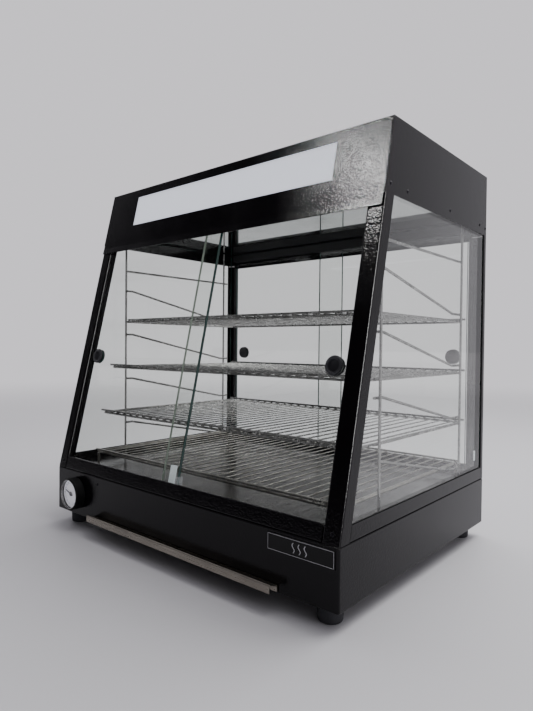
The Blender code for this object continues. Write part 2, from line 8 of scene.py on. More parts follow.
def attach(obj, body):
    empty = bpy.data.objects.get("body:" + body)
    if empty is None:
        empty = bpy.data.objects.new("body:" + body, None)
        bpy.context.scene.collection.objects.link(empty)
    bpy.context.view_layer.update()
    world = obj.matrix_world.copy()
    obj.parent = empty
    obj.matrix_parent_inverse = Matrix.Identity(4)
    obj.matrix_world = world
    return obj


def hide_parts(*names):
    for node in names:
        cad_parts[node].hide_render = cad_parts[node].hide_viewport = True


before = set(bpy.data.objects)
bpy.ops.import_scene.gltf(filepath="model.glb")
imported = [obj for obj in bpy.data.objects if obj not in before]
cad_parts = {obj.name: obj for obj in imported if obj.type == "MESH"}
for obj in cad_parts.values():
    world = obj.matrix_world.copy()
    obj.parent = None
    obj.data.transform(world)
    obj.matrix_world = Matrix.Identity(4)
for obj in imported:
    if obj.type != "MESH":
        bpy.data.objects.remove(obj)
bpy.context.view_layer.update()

scene = bpy.context.scene
mm = 0.001
print("frame loaded")


# Places. Sizes are in millimetres; y starts at the front of the base and z at the table.

case = {
    "half": 308.0, "depth": 450.0, "foot": 24.0, "seam": 100.0, "header": 519.0, "height": 620.0,
    "lean": 0.2277, "sheet": 1.2, "seamGap": 0.3,
}
sides = {"left": -1, "right": 1}


def at(x, y, z):
    return Vector((x, y - case["depth"] / 2, z)) * mm


def frontAt(z):
    return case["lean"] * (z - case["seam"])


def shifted(x, y, z):
    return Matrix.Translation(Vector((x, y, z)) * mm)


tilt = math.atan(case["lean"])
quarter = Matrix.Rotation(math.pi / 2, 4, "X")
sideways = Matrix.Rotation(math.pi / 2, 4, "Z") @ quarter  # outlines in (y, z), thickness along X
# The leaning front's own axes: x right, y into the case, z up the slope.
slope = Matrix.Translation(at(0, 0, case["seam"])) @ Matrix.Rotation(-tilt, 4, "X")


def upSlope(z):
    return (z - case["seam"]) / math.cos(tilt)


def leaning(x, depth, up):  # local Z points out of the leaning front
    return slope @ shifted(x, depth, up) @ quarter


def facingFront(x, y, z):
    return Matrix.Translation(at(x, y, z)) @ quarter


def facingBack(x, y, z):
    return Matrix.Translation(at(x, y, z)) @ Matrix.Rotation(-math.pi / 2, 4, "X")


# Materials


def hexColour(code):
    values = [int(code[i:i + 2], 16) / 255 for i in (1, 3, 5)]
    return tuple(v / 12.92 if v < 0.04045 else ((v + 0.055) / 1.055) ** 2.4 for v in values) + (1.0,)


def addNode(tree, kind, settings=None, links=None):
    node = tree.nodes.new(kind)
    for key, value in (settings or {}).items():
        if isinstance(key, int) or key in node.inputs:
            node.inputs[key].default_value = value
        else:
            setattr(node, key, value)
    for key, socket in (links or {}).items():
        tree.links.new(socket, node.inputs[key])
    return node


def newMaterial(name, settings):
    material = bpy.data.materials.new(name)
    material.use_nodes = True
    tree = material.node_tree
    shader = tree.nodes["Principled BSDF"]
    for key, value in settings.items():
        shader.inputs[key].default_value = value
    place = addNode(tree, "ShaderNodeTexCoord").outputs["Object"]
    return material, tree, shader, place


def noise(tree, place, size, detail, **more):
    settings = {"Scale": 1 / (size * mm), "Detail": detail, **more}
    return addNode(tree, "ShaderNodeTexNoise", settings, {"Vector": place}).outputs["Fac"]


def spread(tree, value, low, high, **more):
    settings = {"To Min": low, "To Max": high, **more}
    return addNode(tree, "ShaderNodeMapRange", settings, {"Value": value}).outputs["Result"]


def relief(tree, height, strength, deep):
    settings = {"Strength": strength, "Distance": deep * mm}
    return addNode(tree, "ShaderNodeBump", settings, {"Height": height}).outputs["Normal"]


def linkShader(tree, shader, colour, rough, normal):
    if colour:
        tree.links.new(colour, shader.inputs["Base Color"])
    tree.links.new(rough, shader.inputs["Roughness"])
    tree.links.new(normal, shader.inputs["Normal"])


def makePowderCoat(name, colour, gloss, rough, grain, bump):
    # Polyester powder coat, sprayed and baked: orange peel that breaks reflections into specks,
    # drawn a little coarser than real so that it shows, with faint wiped smears.
    material, tree, shader, place = newMaterial(name, {
        "Base Color": hexColour(colour),
        "Specular IOR Level": gloss,
    })
    peel = noise(tree, place, grain, 3.0, Roughness=0.55)
    fine = addNode(tree, "ShaderNodeTexVoronoi", {
        "Scale": 1 / (grain * 0.8 * mm), "feature": "SMOOTH_F1",
    }, {"Vector": place})
    both = addNode(tree, "ShaderNodeMath", {"operation": "MULTIPLY_ADD", 1: 0.6}, {
        0: fine.outputs["Distance"], 2: peel,
    })
    smear = noise(tree, place, 70, 4.0, Distortion=0.8)
    dull = spread(tree, smear, rough - 0.04, rough + 0.07, **{"From Min": 0.3, "From Max": 0.72})
    linkShader(tree, shader, None, dull, relief(tree, both.outputs[0], bump, 0.4))
    return material


def makeMetal(name, dark, light, rough, grain, patch, streak, bump, stretch=(1, 1, 1)):
    # Plated or rolled metal: a slightly uneven brightness, streaked along one axis where the
    # sheet was brushed, and duller patches from wiping.
    material, tree, shader, place = newMaterial(name, {"Metallic": 1.0})
    drawn = addNode(tree, "ShaderNodeMapping", {"Scale": stretch}, {"Vector": place})
    lines = noise(tree, drawn.outputs["Vector"], grain, 5.0)
    wiped = noise(tree, place, patch, 3.0)
    both = addNode(tree, "ShaderNodeMath", {"operation": "MULTIPLY_ADD", 1: streak}, {0: lines, 2: wiped})
    low, high = 0.3 * (1 + streak), 0.7 * (1 + streak)
    colour = addNode(tree, "ShaderNodeMapRange", {
        "data_type": "FLOAT_VECTOR", "From Min": (low,) * 3, "From Max": (high,) * 3,
        9: hexColour(dark)[:3], 10: hexColour(light)[:3],
    }, {"Vector": both.outputs[0]})
    dull = spread(tree, both.outputs[0], rough[1], rough[0], **{"From Min": low, "From Max": high})
    linkShader(tree, shader, colour.outputs["Vector"], dull, relief(tree, lines, bump, 0.1))
    return material


def makePlastic(name, colour, dusty, rough, gloss, grain, bump, paintedGlow=None, alpha=1.0):
    # Moulded plastic or rubber: a spark-eroded grain, a little lighter where dust sits.
    material, tree, shader, place = newMaterial(name, {"Specular IOR Level": gloss, "Alpha": alpha})
    # A painted glow: emission that brightens a part that is no lamp.
    if paintedGlow:
        shader.inputs["Emission Color"].default_value = hexColour(paintedGlow[0])
        shader.inputs["Emission Strength"].default_value = paintedGlow[1]
    dust = noise(tree, place, 18, 5.0)
    mixed = addNode(tree, "ShaderNodeMix", {
        "data_type": "RGBA", 6: hexColour(colour), 7: hexColour(dusty),
    }, {0: dust})
    dull = spread(tree, dust, rough - 0.06, rough + 0.1)
    linkShader(tree, shader, mixed.outputs[2], dull, relief(tree, noise(tree, place, grain, 3.0), bump, 0.1))
    return material


def makePane(name, tint, haze):
    # Toughened float glass: each face mirrors a little and lets the rest through with a
    # green cast, under a thin uneven film left by cleaning.
    material, tree, shader, place = newMaterial(name, {})
    tree.nodes.remove(shader)
    clear = addNode(tree, "ShaderNodeBsdfTransparent", {"Color": hexColour(tint)})
    film = noise(tree, place, 90, 6.0, Distortion=1.5)
    blur = spread(tree, film, 0.0, haze, **{"From Min": 0.35, "From Max": 0.75})
    mirror = addNode(tree, "ShaderNodeBsdfGlossy", {"Color": (1, 1, 1, 1)}, {"Roughness": blur})
    facing = addNode(tree, "ShaderNodeLayerWeight", {"Blend": 0.5})
    grazing = addNode(tree, "ShaderNodeMath", {"operation": "POWER", 1: 5.0}, {0: facing.outputs["Facing"]})
    shine = addNode(tree, "ShaderNodeMath", {
        "operation": "MULTIPLY_ADD", 1: 0.96, 2: 0.04,
    }, {0: grazing.outputs[0]})
    mix = addNode(tree, "ShaderNodeMixShader", {}, {
        0: shine.outputs[0], 1: clear.outputs["BSDF"], 2: mirror.outputs["BSDF"],
    })
    tree.links.new(mix.outputs["Shader"], tree.nodes["Material Output"].inputs["Surface"])
    return material


# Coated sheet of the case and the badge
powderCoat = makePowderCoat("blackPowderCoat", colour="#0c0a0d", gloss=0.18, rough=0.11, grain=2.7, bump=0.55)
plateCoat = makePowderCoat("badgeEnamel", colour="#0b0b0c", gloss=0.2, rough=0.2, grain=2.5, bump=0.08)

# Nickel-plated shelf wire, and the same worn by cleaning
chromeWire = makeMetal(
    "nickelPlatedWire", dark="#797775", light="#b6b5b4", rough=(0.2, 0.36),
    grain=2, patch=22, streak=0.3, bump=0.1,
)
wornWire = makeMetal(
    "wornPlatedWire", dark="#7f7a74", light="#cbc8c3", rough=(0.22, 0.45),
    grain=3, patch=30, streak=0.6, bump=0.2,
)

# Stainless sheet: the mirror under the header, the used floor pan and the brushed tray
mirrorSteel = makeMetal(
    "polishedStainless", dark="#aeb2b0", light="#c6c9c7", rough=(0.015, 0.05),
    grain=3, patch=120, streak=0.1, bump=0.01,
)
floorSteel = makeMetal(
    "usedStainlessFloor", dark="#201f1e", light="#4d4b48", rough=(0.1, 0.26),
    grain=1.2, patch=45, streak=0.5, bump=0.05, stretch=(0.1, 1, 1),
)
traySteel = makeMetal(
    "brushedStainless", dark="#77716a", light="#aca59a", rough=(0.2, 0.36),
    grain=0.8, patch=60, streak=0.9, bump=0.12, stretch=(0.03, 1, 1),
)

# Element sheath tinted by heat, the dial's turned rim, and blackened screws
sheathSteel = makeMetal(
    "heatTintedSheath", dark="#4b3d36", light="#7d6a5a", rough=(0.3, 0.5),
    grain=2, patch=40, streak=0.5, bump=0.2,
)
bezelSteel = makeMetal(
    "turnedStainless", dark="#6b6a69", light="#a9a8a6", rough=(0.12, 0.25),
    grain=0.6, patch=12, streak=0.4, bump=0.05,
)
blackScrew = makeMetal(
    "blackenedSteel", dark="#17161a", light="#39373c", rough=(0.3, 0.45),
    grain=0.6, patch=5, streak=0.4, bump=0.2,
)

# Black mouldings and rubber
mouldedBlack = makePlastic("mouldedNylon", "#232326", "#3d3d42", rough=0.42, gloss=0.45, grain=0.5, bump=0.3)
caseBlack = makePlastic("mouldedPhenolic", "#060607", "#101011", rough=0.55, gloss=0.15, grain=0.5, bump=0.3)
trackBlack = makePlastic("extrudedTrack", "#0d0d0e", "#262627", rough=0.5, gloss=0.4, grain=0.7, bump=0.2)
footRubber = makePlastic("mouldedRubber", "#242427", "#3b3b3f", rough=0.68, gloss=0.3, grain=0.6, bump=0.4)
# Near-black for the strips and pane ends in the gaps beside the glass: a painted shadow.
gasketRubber = makePlastic("gasketRubber", "#050506", "#121213", rough=0.7, gloss=0.2, grain=0.5, bump=0.2)

# Opal acrylic and the dial's paper white, each with a painted glow that brightens it evenly though neither is
# a lamp
opalSheetPaintedGlow = makePlastic(
    "opalAcrylic", "#dfe2e9", "#d3d6de", rough=0.22, gloss=0.4, grain=6.0, bump=0.01,
    paintedGlow=("#dfe3ee", 0.8),
)
dialWhitePaintedGlow = makePlastic(
    "printedDial", "#fbfbff", "#f4f4fa", rough=0.45, gloss=0.3, grain=1.0, bump=0.02,
    paintedGlow=("#eeeefa", 0.26),
)

# Screen-printed lines and marks
inkGrey = makePlastic("printedLines", "#c9c8cc", "#b3b2b7", rough=0.5, gloss=0.3, grain=0.8, bump=0.02)
inkBlack = makePlastic("printedMarks", "#1c1b22", "#2c2b33", rough=0.5, gloss=0.3, grain=0.8, bump=0.02)

# Lamp tube and the lit rocker's red polycarbonate
lampWhite = makePlastic("coatedLampGlass", "#e9e8e2", "#dddcd6", rough=0.3, gloss=0.5, grain=2.0, bump=0.02)
lampRed = makePlastic("translucentRocker", "#7a0f12", "#8a1c1e", rough=0.25, gloss=0.5, grain=2.0, bump=0.02)

# Glass, its edges, and the clear plastic on the doors; the milky one has a painted glow that lifts it out of
# the shade inside the case
paneGlass = makePane("toughenedGlass", tint="#fdfefd", haze=0.02)
lensGlass = makePane("dialLensGlass", tint="#fdfdfd", haze=0.03)
glassEdge = makePlastic("groundGlassEdge", "#0c2722", "#1f463e", rough=0.16, gloss=0.6, grain=0.8, bump=0.1)
# A lighter copy of the glass edge for the right door: a painted highlight where its edges catch the light.
litEdge = makePlastic("polishedGlassEdge", "#8c9a8f", "#b4beb0", rough=0.2, gloss=0.6, grain=0.8, bump=0.1)
clearPlastic = makePlastic(
    "clearAcrylic", "#dfe6e6", "#eef2f2", rough=0.16, gloss=0.6, grain=2.0, bump=0.05,
    alpha=0.2,
)
milkyPlasticPaintedGlow = makePlastic(
    "scratchedPolycarbonate", "#e3e8ec", "#f3f6f8", rough=0.3, gloss=0.6, grain=1.5, bump=0.2,
    paintedGlow=("#e8eef4", 0.3), alpha=0.9,
)
print("materials made")


# Making meshes

smooth = {"foldSteps": 7, "cornerSteps": 6, "folds": 35, "wires": 50}


def newObject(name, mesh):
    thing = bpy.data.objects.new(name, mesh)
    scene.collection.objects.link(thing)
    return thing


def meshFrom(bm):
    mesh = bpy.data.meshes.new("mesh")
    bm.to_mesh(mesh)
    bm.free()
    return mesh


def closedMesh(bm):
    bmesh.ops.recalc_face_normals(bm, faces=bm.faces)
    return meshFrom(bm)


def baked(thing):  # the object's mesh with its modifiers applied
    bpy.context.view_layer.update()
    solved = thing.evaluated_get(bpy.context.evaluated_depsgraph_get())
    mesh = bpy.data.meshes.new_from_object(solved)
    mesh.name = thing.name
    bpy.data.objects.remove(thing, do_unlink=True)
    return mesh


def piece(name, mesh, finish, body="case", stands=(), angle=smooth["folds"]):
    finishes = finish if isinstance(finish, list) else [finish]
    kept = [min(face.material_index, len(finishes) - 1) for face in mesh.polygons]
    mesh.materials.clear()
    for material in finishes:
        mesh.materials.append(material)
    mesh.polygons.foreach_set("material_index", kept)
    mesh.shade_smooth()
    mesh.set_sharp_from_angle(angle=math.radians(angle))
    thing = newObject(name, mesh)
    weigh = thing.modifiers.new("flatFaces", "WEIGHTED_NORMAL")  # flat sheets stay flat beside their folds
    weigh.keep_sharp = True
    thing = newObject(name, baked(thing))
    if powderCoat in finishes:
        coated.objects.link(thing)
    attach(thing, body)
    if stands:
        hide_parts(*stands)
    return thing


def softened(mesh, width, segments=2, angle=40):  # worn, slightly rounded edges
    thing = newObject("softened", mesh)
    bevel = thing.modifiers.new("edges", "BEVEL")
    bevel.width = width * mm
    bevel.segments = segments
    bevel.limit_method = "ANGLE"
    bevel.angle_limit = math.radians(angle)
    bevel.harden_normals = False
    return baked(thing)


def coatedPiece(name, mesh, stands, width=0.25, segments=2):
    piece(name, softened(mesh, width, segments), powderCoat, stands=stands)


def carved(mesh, cutters):
    thing = newObject("carved", mesh)
    tools = [newObject("tool", cutter) for cutter in cutters]
    for tool in tools:
        cut = thing.modifiers.new("cut", "BOOLEAN")
        cut.operation = "DIFFERENCE"
        cut.solver = "EXACT"
        cut.object = tool
    result = baked(thing)
    for tool in tools:
        bpy.data.objects.remove(tool, do_unlink=True)
    return result


def joined(meshes):
    bm = bmesh.new()
    for mesh in meshes:
        bm.from_mesh(mesh)
    return meshFrom(bm)


def blockMesh(low, high, matrix=None):
    bm = bmesh.new()
    bmesh.ops.create_cube(bm, size=1.0)
    size = Vector([b - a for a, b in zip(low, high)]) * mm
    middle = Vector([(a + b) / 2 for a, b in zip(low, high)])
    bmesh.ops.scale(bm, vec=size, verts=bm.verts)
    place = matrix @ Matrix.Translation(middle * mm) if matrix else Matrix.Translation(at(*middle))
    bmesh.ops.transform(bm, matrix=place, verts=bm.verts)
    return meshFrom(bm)


def turnedMesh(profile, matrix, steps=48, closed=False):
    # The profile's (radius, height) pairs run down the outer side.
    bm = bmesh.new()
    rings = []
    for radius, height in profile:
        ring = []
        for i in range(steps if radius else 1):
            angle = math.tau * i / steps
            spot = Vector((radius * math.cos(angle), radius * math.sin(angle), height)) * mm
            ring.append(bm.verts.new(matrix @ spot))
        rings.append(ring)
    for upper, lower in zip(rings, rings[1:] + rings[:closed]):
        for i in range(steps):
            j = (i + 1) % steps
            corners = [row[k % len(row)] for row, k in ((upper, i), (lower, i), (lower, j), (upper, j))]
            corners = list(dict.fromkeys(corners))
            if len(corners) > 2:
                bm.faces.new(corners)
    return closedMesh(bm)


def drillMesh(radius, reach, matrix, steps):
    return turnedMesh([(0, reach), (radius, reach), (radius, -reach), (0, -reach)], matrix, steps)


def foldedLine(points, radius):
    # Points and their normals along a bent line whose corners are rounded.
    line = []
    last = len(points) - 1
    for i, point in enumerate(points):
        here = Vector(point)
        before = (here - Vector(points[i - 1])).normalized() if i else None
        after = (Vector(points[i + 1]) - here).normalized() if i < last else None
        if before is None or after is None:
            way = after or before
            line.append((here, Vector((-way.y, way.x))))
            continue
        start, end = Vector((-before.y, before.x)), Vector((-after.y, after.x))
        middle = (start + end).normalized()
        reach = radius / max(middle.dot(start), 0.2)
        side = 1 if before.cross(after) > 0 else -1
        centre = here + middle * reach * side
        for step in range(smooth["foldSteps"] + 1):
            share = step / smooth["foldSteps"]
            normal = (start * (1 - share) + end * share).normalized()
            line.append((centre - normal * radius * side, normal))
    return line


def sectionMesh(points, radius, thick, place, run):
    # A folded sheet: the bent line given its thickness on the left of its travel, then
    # swept along run.
    line = foldedLine(points, radius)
    outline = [p for p, n in line] + [p + n * thick for p, n in reversed(line)]
    bm = bmesh.new()
    near = [bm.verts.new(place(*p)) for p in outline]
    far = [bm.verts.new(v.co + run) for v in near]
    count, half = len(outline), len(line)
    for i in range(count):
        j = (i + 1) % count
        bm.faces.new([near[i], near[j], far[j], far[i]])
    for i in range(half - 1):
        for ends in (near, far):
            bm.faces.new([ends[i], ends[i + 1], ends[count - 2 - i], ends[count - 1 - i]])
    return closedMesh(bm)


def ringLoop(bm, half, middle, radius, z):
    # One rounded rectangle of vertices round the case.
    out = []
    radius = max(radius, 0.05)
    for corner, (sx, sy) in enumerate(((1, 1), (-1, 1), (-1, -1), (1, -1))):
        cx, cy = sx * (half[0] - radius), sy * (half[1] - radius)
        for step in range(smooth["cornerSteps"] + 1):
            angle = math.pi / 2 * (corner + step / smooth["cornerSteps"])
            x = middle[0] + cx + radius * math.cos(angle)
            y = middle[1] + cy + radius * math.sin(angle)
            out.append(bm.verts.new(at(x, y, z)))
    return out


def hoopMesh(profile, half, middle, radius):
    # A closed profile of (inset, height) swept round a rounded rectangle.
    bm = bmesh.new()
    loops = []
    for inset, z in profile:
        loops.append(ringLoop(bm, (half[0] - inset, half[1] - inset), middle, radius - inset, z))
    count = len(loops[0])
    for a, b in zip(loops, loops[1:] + loops[:1]):
        for i in range(count):
            j = (i + 1) % count
            bm.faces.new([a[i], a[j], b[j], b[i]])
    return closedMesh(bm)


def prismMesh(outline, low, high, matrix):
    # A flat outline given a thickness along the matrix's Z.
    bm = bmesh.new()
    bottom = [bm.verts.new(matrix @ (Vector((x, y, low)) * mm)) for x, y in outline]
    top = [bm.verts.new(matrix @ (Vector((x, y, high)) * mm)) for x, y in outline]
    bm.faces.new(bottom)
    bm.faces.new(top)
    for i in range(len(outline)):
        j = (i + 1) % len(outline)
        bm.faces.new([bottom[i], bottom[j], top[j], top[i]])
    return closedMesh(bm)


def linesMesh(runs):
    bm = bmesh.new()
    for run in runs:
        verts = [bm.verts.new(at(*p)) for p in run]
        for a, b in zip(verts, verts[1:]):
            bm.edges.new((a, b))
    return meshFrom(bm)


# Geometry node trees


def newTree(name, inputs):
    tree = bpy.data.node_groups.new(name, "GeometryNodeTree")
    tree.interface.new_socket(name="Geometry", in_out="INPUT", socket_type="NodeSocketGeometry")
    for label, kind in {**inputs, "Material": "Material"}.items():
        tree.interface.new_socket(name=label, in_out="INPUT", socket_type=f"NodeSocket{kind}")
    tree.interface.new_socket(name="Geometry", in_out="OUTPUT", socket_type="NodeSocketGeometry")
    return tree, addNode(tree, "NodeGroupInput").outputs, addNode(tree, "NodeGroupOutput")


def endTree(tree, socket, given, result):
    real = addNode(tree, "GeometryNodeRealizeInstances", {}, {"Geometry": socket})
    finish = addNode(tree, "GeometryNodeSetMaterial", {}, {
        "Geometry": real.outputs[0], "Material": given["Material"],
    })
    tree.links.new(finish.outputs[0], result.inputs["Geometry"])
    return tree


def runTree(mesh, tree, values):
    holder = newObject("holder", mesh)
    modifier = holder.modifiers.new("nodes", "NODES")
    modifier.node_group = tree
    for item in tree.interface.items_tree:
        if item.in_out == "INPUT" and item.name in values:
            modifier[item.identifier] = values[item.name]
    return baked(holder)


def roundWires(tree, given, bendSteps):
    # Round wires along the edges of a mesh, with their bends rounded.
    curve = addNode(tree, "GeometryNodeMeshToCurve", {}, {"Mesh": given["Geometry"]})
    bend = addNode(tree, "GeometryNodeFilletCurve", {
        "mode": "POLY", "Count": bendSteps, "Limit Radius": True,
    }, {"Curve": curve.outputs[0], "Radius": given["Bend"]})
    circle = addNode(tree, "GeometryNodeCurvePrimitiveCircle", {}, {
        "Resolution": given["Sides"], "Radius": given["Radius"],
    })
    return addNode(tree, "GeometryNodeCurveToMesh", {"Fill Caps": True}, {
        "Curve": bend.outputs[0], "Profile Curve": circle.outputs["Curve"],
    })


def makeWireTree():
    tree, given, result = newTree("bentWires", {"Radius": "Float", "Bend": "Float", "Sides": "Int"})
    tube = roundWires(tree, given, 5)
    return endTree(tree, tube.outputs[0], given, result)


def makeRowTree():
    # One bent wire repeated in a row along X.
    tree, given, result = newTree("wireRow", {
        "Count": "Int", "Pitch": "Float", "Start": "Float", "Radius": "Float", "Bend": "Float", "Sides": "Int",
    })
    offset = addNode(tree, "ShaderNodeCombineXYZ", {}, {"X": given["Pitch"]})
    start = addNode(tree, "ShaderNodeCombineXYZ", {}, {"X": given["Start"]})
    row = addNode(tree, "GeometryNodeMeshLine", {}, {
        "Count": given["Count"], "Offset": offset.outputs[0], "Start Location": start.outputs[0],
    })
    tube = roundWires(tree, given, 3)
    wires = addNode(tree, "GeometryNodeInstanceOnPoints", {}, {
        "Points": row.outputs[0], "Instance": tube.outputs[0],
    })
    return endTree(tree, wires.outputs[0], given, result)


def makeRingTree():
    # Small bars set round an arc, for knurls, flutes and scale marks.
    tree, given, result = newTree("barsRoundArc", {
        "Count": "Int", "Radius": "Float", "Start": "Float", "Step": "Float", "Size": "Vector",
    })
    points = addNode(tree, "GeometryNodePoints", {}, {"Count": given["Count"]})
    index = addNode(tree, "GeometryNodeInputIndex")
    angle = addNode(tree, "ShaderNodeMath", {"operation": "MULTIPLY_ADD"}, {
        0: index.outputs[0], 1: given["Step"], 2: given["Start"],
    })
    across = addNode(tree, "ShaderNodeMath", {"operation": "COSINE"}, {0: angle.outputs[0]})
    along = addNode(tree, "ShaderNodeMath", {"operation": "SINE"}, {0: angle.outputs[0]})
    unit = addNode(tree, "ShaderNodeCombineXYZ", {}, {"X": across.outputs[0], "Y": along.outputs[0]})
    spot = addNode(tree, "ShaderNodeVectorMath", {"operation": "SCALE"}, {
        0: unit.outputs[0], "Scale": given["Radius"],
    })
    turn = addNode(tree, "ShaderNodeCombineXYZ", {}, {"Z": angle.outputs[0]})
    placed = addNode(tree, "GeometryNodeSetPosition", {}, {
        "Geometry": points.outputs[0], "Position": spot.outputs[0],
    })
    bar = addNode(tree, "GeometryNodeMeshCube", {}, {"Size": given["Size"]})
    bars = addNode(tree, "GeometryNodeInstanceOnPoints", {}, {
        "Points": placed.outputs[0], "Instance": bar.outputs[0], "Rotation": turn.outputs[0],
    })
    return endTree(tree, bars.outputs[0], given, result)


def makeFixingTree():
    # A screw head at each point, facing along the point's own direction.
    tree, given, result = newTree("fixings", {"Head": "Object", "Seed": "Int"})
    facing = addNode(tree, "GeometryNodeInputNamedAttribute", {"data_type": "FLOAT_VECTOR", "Name": "facing"})
    align = addNode(tree, "FunctionNodeAlignRotationToVector", {"axis": "Z"}, {"Vector": facing.outputs[0]})
    spin = addNode(tree, "FunctionNodeRandomValue", {
        "data_type": "FLOAT", 2: 0.0, 3: 1.5,
    }, {"Seed": given["Seed"]})
    twist = addNode(tree, "FunctionNodeAxisAngleToRotation", {"Axis": (0, 0, 1)}, {"Angle": spin.outputs[1]})
    turn = addNode(tree, "FunctionNodeRotateRotation", {"rotation_space": "LOCAL"}, {
        "Rotation": align.outputs[0], 1: twist.outputs[0],
    })
    head = addNode(tree, "GeometryNodeObjectInfo", {}, {"Object": given["Head"]})
    heads = addNode(tree, "GeometryNodeInstanceOnPoints", {}, {
        "Points": given["Geometry"], "Instance": head.outputs["Geometry"], "Rotation": turn.outputs[0],
    })
    return endTree(tree, heads.outputs[0], given, result)


wireTree, rowTree, ringTree, fixingTree = makeWireTree(), makeRowTree(), makeRingTree(), makeFixingTree()


def wireMesh(runs, radius, bend, material, sides=10):
    return runTree(linesMesh(runs), wireTree, {
        "Radius": radius * mm, "Bend": bend * mm, "Sides": sides, "Material": material,
    })


def barsMesh(matrix, material, count, radius, size, start=0, step=None):
    mesh = runTree(bpy.data.meshes.new("empty"), ringTree, {
        "Count": count, "Radius": radius * mm,
        "Start": math.radians(start), "Step": math.radians(360 / count if step is None else step),
        "Size": tuple(v * mm for v in size), "Material": material,
    })
    mesh.transform(matrix)
    return mesh


# Camera and light

view = {"place": (0.64289, -0.74089, 0.3256), "yaw": 40.8097, "pitch": 0.9828, "roll": 0.5648, "lens": 27.774}


def makeCamera():
    yaw, pitch, roll = (math.radians(view[key]) for key in ("yaw", "pitch", "roll"))
    level = math.cos(pitch)
    ahead = Vector((-math.sin(yaw) * level, math.cos(yaw) * level, -math.sin(pitch)))
    right = Vector((math.cos(yaw), math.sin(yaw), 0))
    up = right.cross(ahead)
    across = right * math.cos(roll) + up * math.sin(roll)
    above = up * math.cos(roll) - right * math.sin(roll)
    data = bpy.data.cameras.new("camera")
    data.lens = view["lens"]
    data.sensor_width = 36
    camera = bpy.data.objects.new("camera", data)
    scene.collection.objects.link(camera)
    basis = Matrix((across, above, -ahead)).transposed().to_4x4()
    camera.matrix_world = Matrix.Translation(Vector(view["place"])) @ basis
    scene.camera = camera


# The room is dim straight ahead of the case, so that its leaning front mirrors something dark.
room = {
    "backdrop": "#f4f1f7", "pale": "#dfdde3", "dim": "#1c1b1d", "floor": "#c2c1c4",
    "dimWay": (-0.31, -0.93, 0.2), "dimFrom": 0.56, "dimTo": 0.76,
    "floorRadius": 40, "fadeFrom": 0.9, "fadeTo": 4.5,
}
# The first two lamps only put a sheen on the coated sheet: one on the fascia, one along the corners.
lamps = {
    "softLamp": {"watts": 26, "size": (0.14, 0.17), "place": (-0.99, -1.77, 2.21), "aim": (0.28, -0.12, 0.56)},
    "edgeLamp": {"watts": 120, "size": (0.8, 1.5), "place": (2.1, -0.96, 0.95), "aim": (0.3, -0.16, 0.35)},
    "topLamp": {"watts": 95, "size": (2.2, 2.2), "place": (0.5, 0.9, 2.5), "aim": (0, 0.1, 0.3)},
}
coated = bpy.data.collections.new("coatedPiecesWithSheen")
unlit = bpy.data.collections.new("panesWithoutLampSpots")


def makeRoom():
    world = bpy.data.worlds.new("studio")
    scene.world = world
    world.use_nodes = True
    tree = world.node_tree
    tree.nodes.clear()
    spot = addNode(tree, "ShaderNodeTexCoord")
    away = addNode(tree, "ShaderNodeVectorMath", {"operation": "DOT_PRODUCT", 1: room["dimWay"]}, {
        0: spot.outputs["Generated"],
    })
    share = addNode(tree, "ShaderNodeMapRange", {
        "From Min": room["dimFrom"], "From Max": room["dimTo"], "interpolation_type": "SMOOTHSTEP",
    }, {"Value": away.outputs["Value"]})
    walls = addNode(tree, "ShaderNodeMix", {
        "data_type": "RGBA", 6: hexColour(room["pale"]), 7: hexColour(room["dim"]),
    }, {0: share.outputs["Result"]})
    path = addNode(tree, "ShaderNodeLightPath")
    shown = addNode(tree, "ShaderNodeMix", {"data_type": "RGBA", 7: hexColour(room["backdrop"])}, {
        0: path.outputs["Is Camera Ray"], 6: walls.outputs[2],
    })
    back = addNode(tree, "ShaderNodeBackground", {"Strength": 1.0}, {"Color": shown.outputs[2]})
    addNode(tree, "ShaderNodeOutputWorld", {}, {"Surface": back.outputs[0]})


def makeLamps():
    for name, values in lamps.items():
        data = bpy.data.lights.new(name, "AREA")
        data.energy = values["watts"]
        data.shape = "RECTANGLE"
        data.size, data.size_y = values["size"]
        lamp = bpy.data.objects.new(name, data)
        scene.collection.objects.link(lamp)
        lamp.location = values["place"]
        way = Vector(values["aim"]) - Vector(values["place"])
        lamp.rotation_euler = way.to_track_quat("-Z", "Y").to_euler()
        lamp.light_linking.receiver_collection = unlit if name == "topLamp" else coated
        lamp.visible_diffuse = name == "topLamp"


def makeFloor():
    bm = bmesh.new()
    bmesh.ops.create_circle(bm, cap_ends=True, segments=96, radius=room["floorRadius"])
    # A matt painted board that fades into the backdrop
    material, tree, shader, spot = newMaterial("paleFloor", {
        "Base Color": hexColour(room["floor"]), "Roughness": 0.55, "Specular IOR Level": 0.25,
    })
    mottle = addNode(tree, "ShaderNodeTexNoise", {"Scale": 3.0, "Detail": 6.0}, {"Vector": spot})
    tree.links.new(spread(tree, mottle.outputs["Fac"], 0.4, 0.65), shader.inputs["Roughness"])
    reach = addNode(tree, "ShaderNodeVectorMath", {"operation": "LENGTH"}, {0: spot})
    fade = addNode(tree, "ShaderNodeMapRange", {
        "From Min": room["fadeFrom"], "From Max": room["fadeTo"], "interpolation_type": "SMOOTHSTEP",
    }, {"Value": reach.outputs["Value"]})
    far = addNode(tree, "ShaderNodeEmission", {"Color": hexColour(room["backdrop"])})
    blend = addNode(tree, "ShaderNodeMixShader", {}, {
        0: fade.outputs["Result"], 1: shader.outputs[0], 2: far.outputs[0],
    })
    tree.links.new(blend.outputs[0], tree.nodes["Material Output"].inputs["Surface"])
    mesh = meshFrom(bm)
    mesh.materials.append(material)
    newObject("floor", mesh)


makeCamera()
makeRoom()
makeLamps()
makeFloor()
print("camera and light made")


# Base

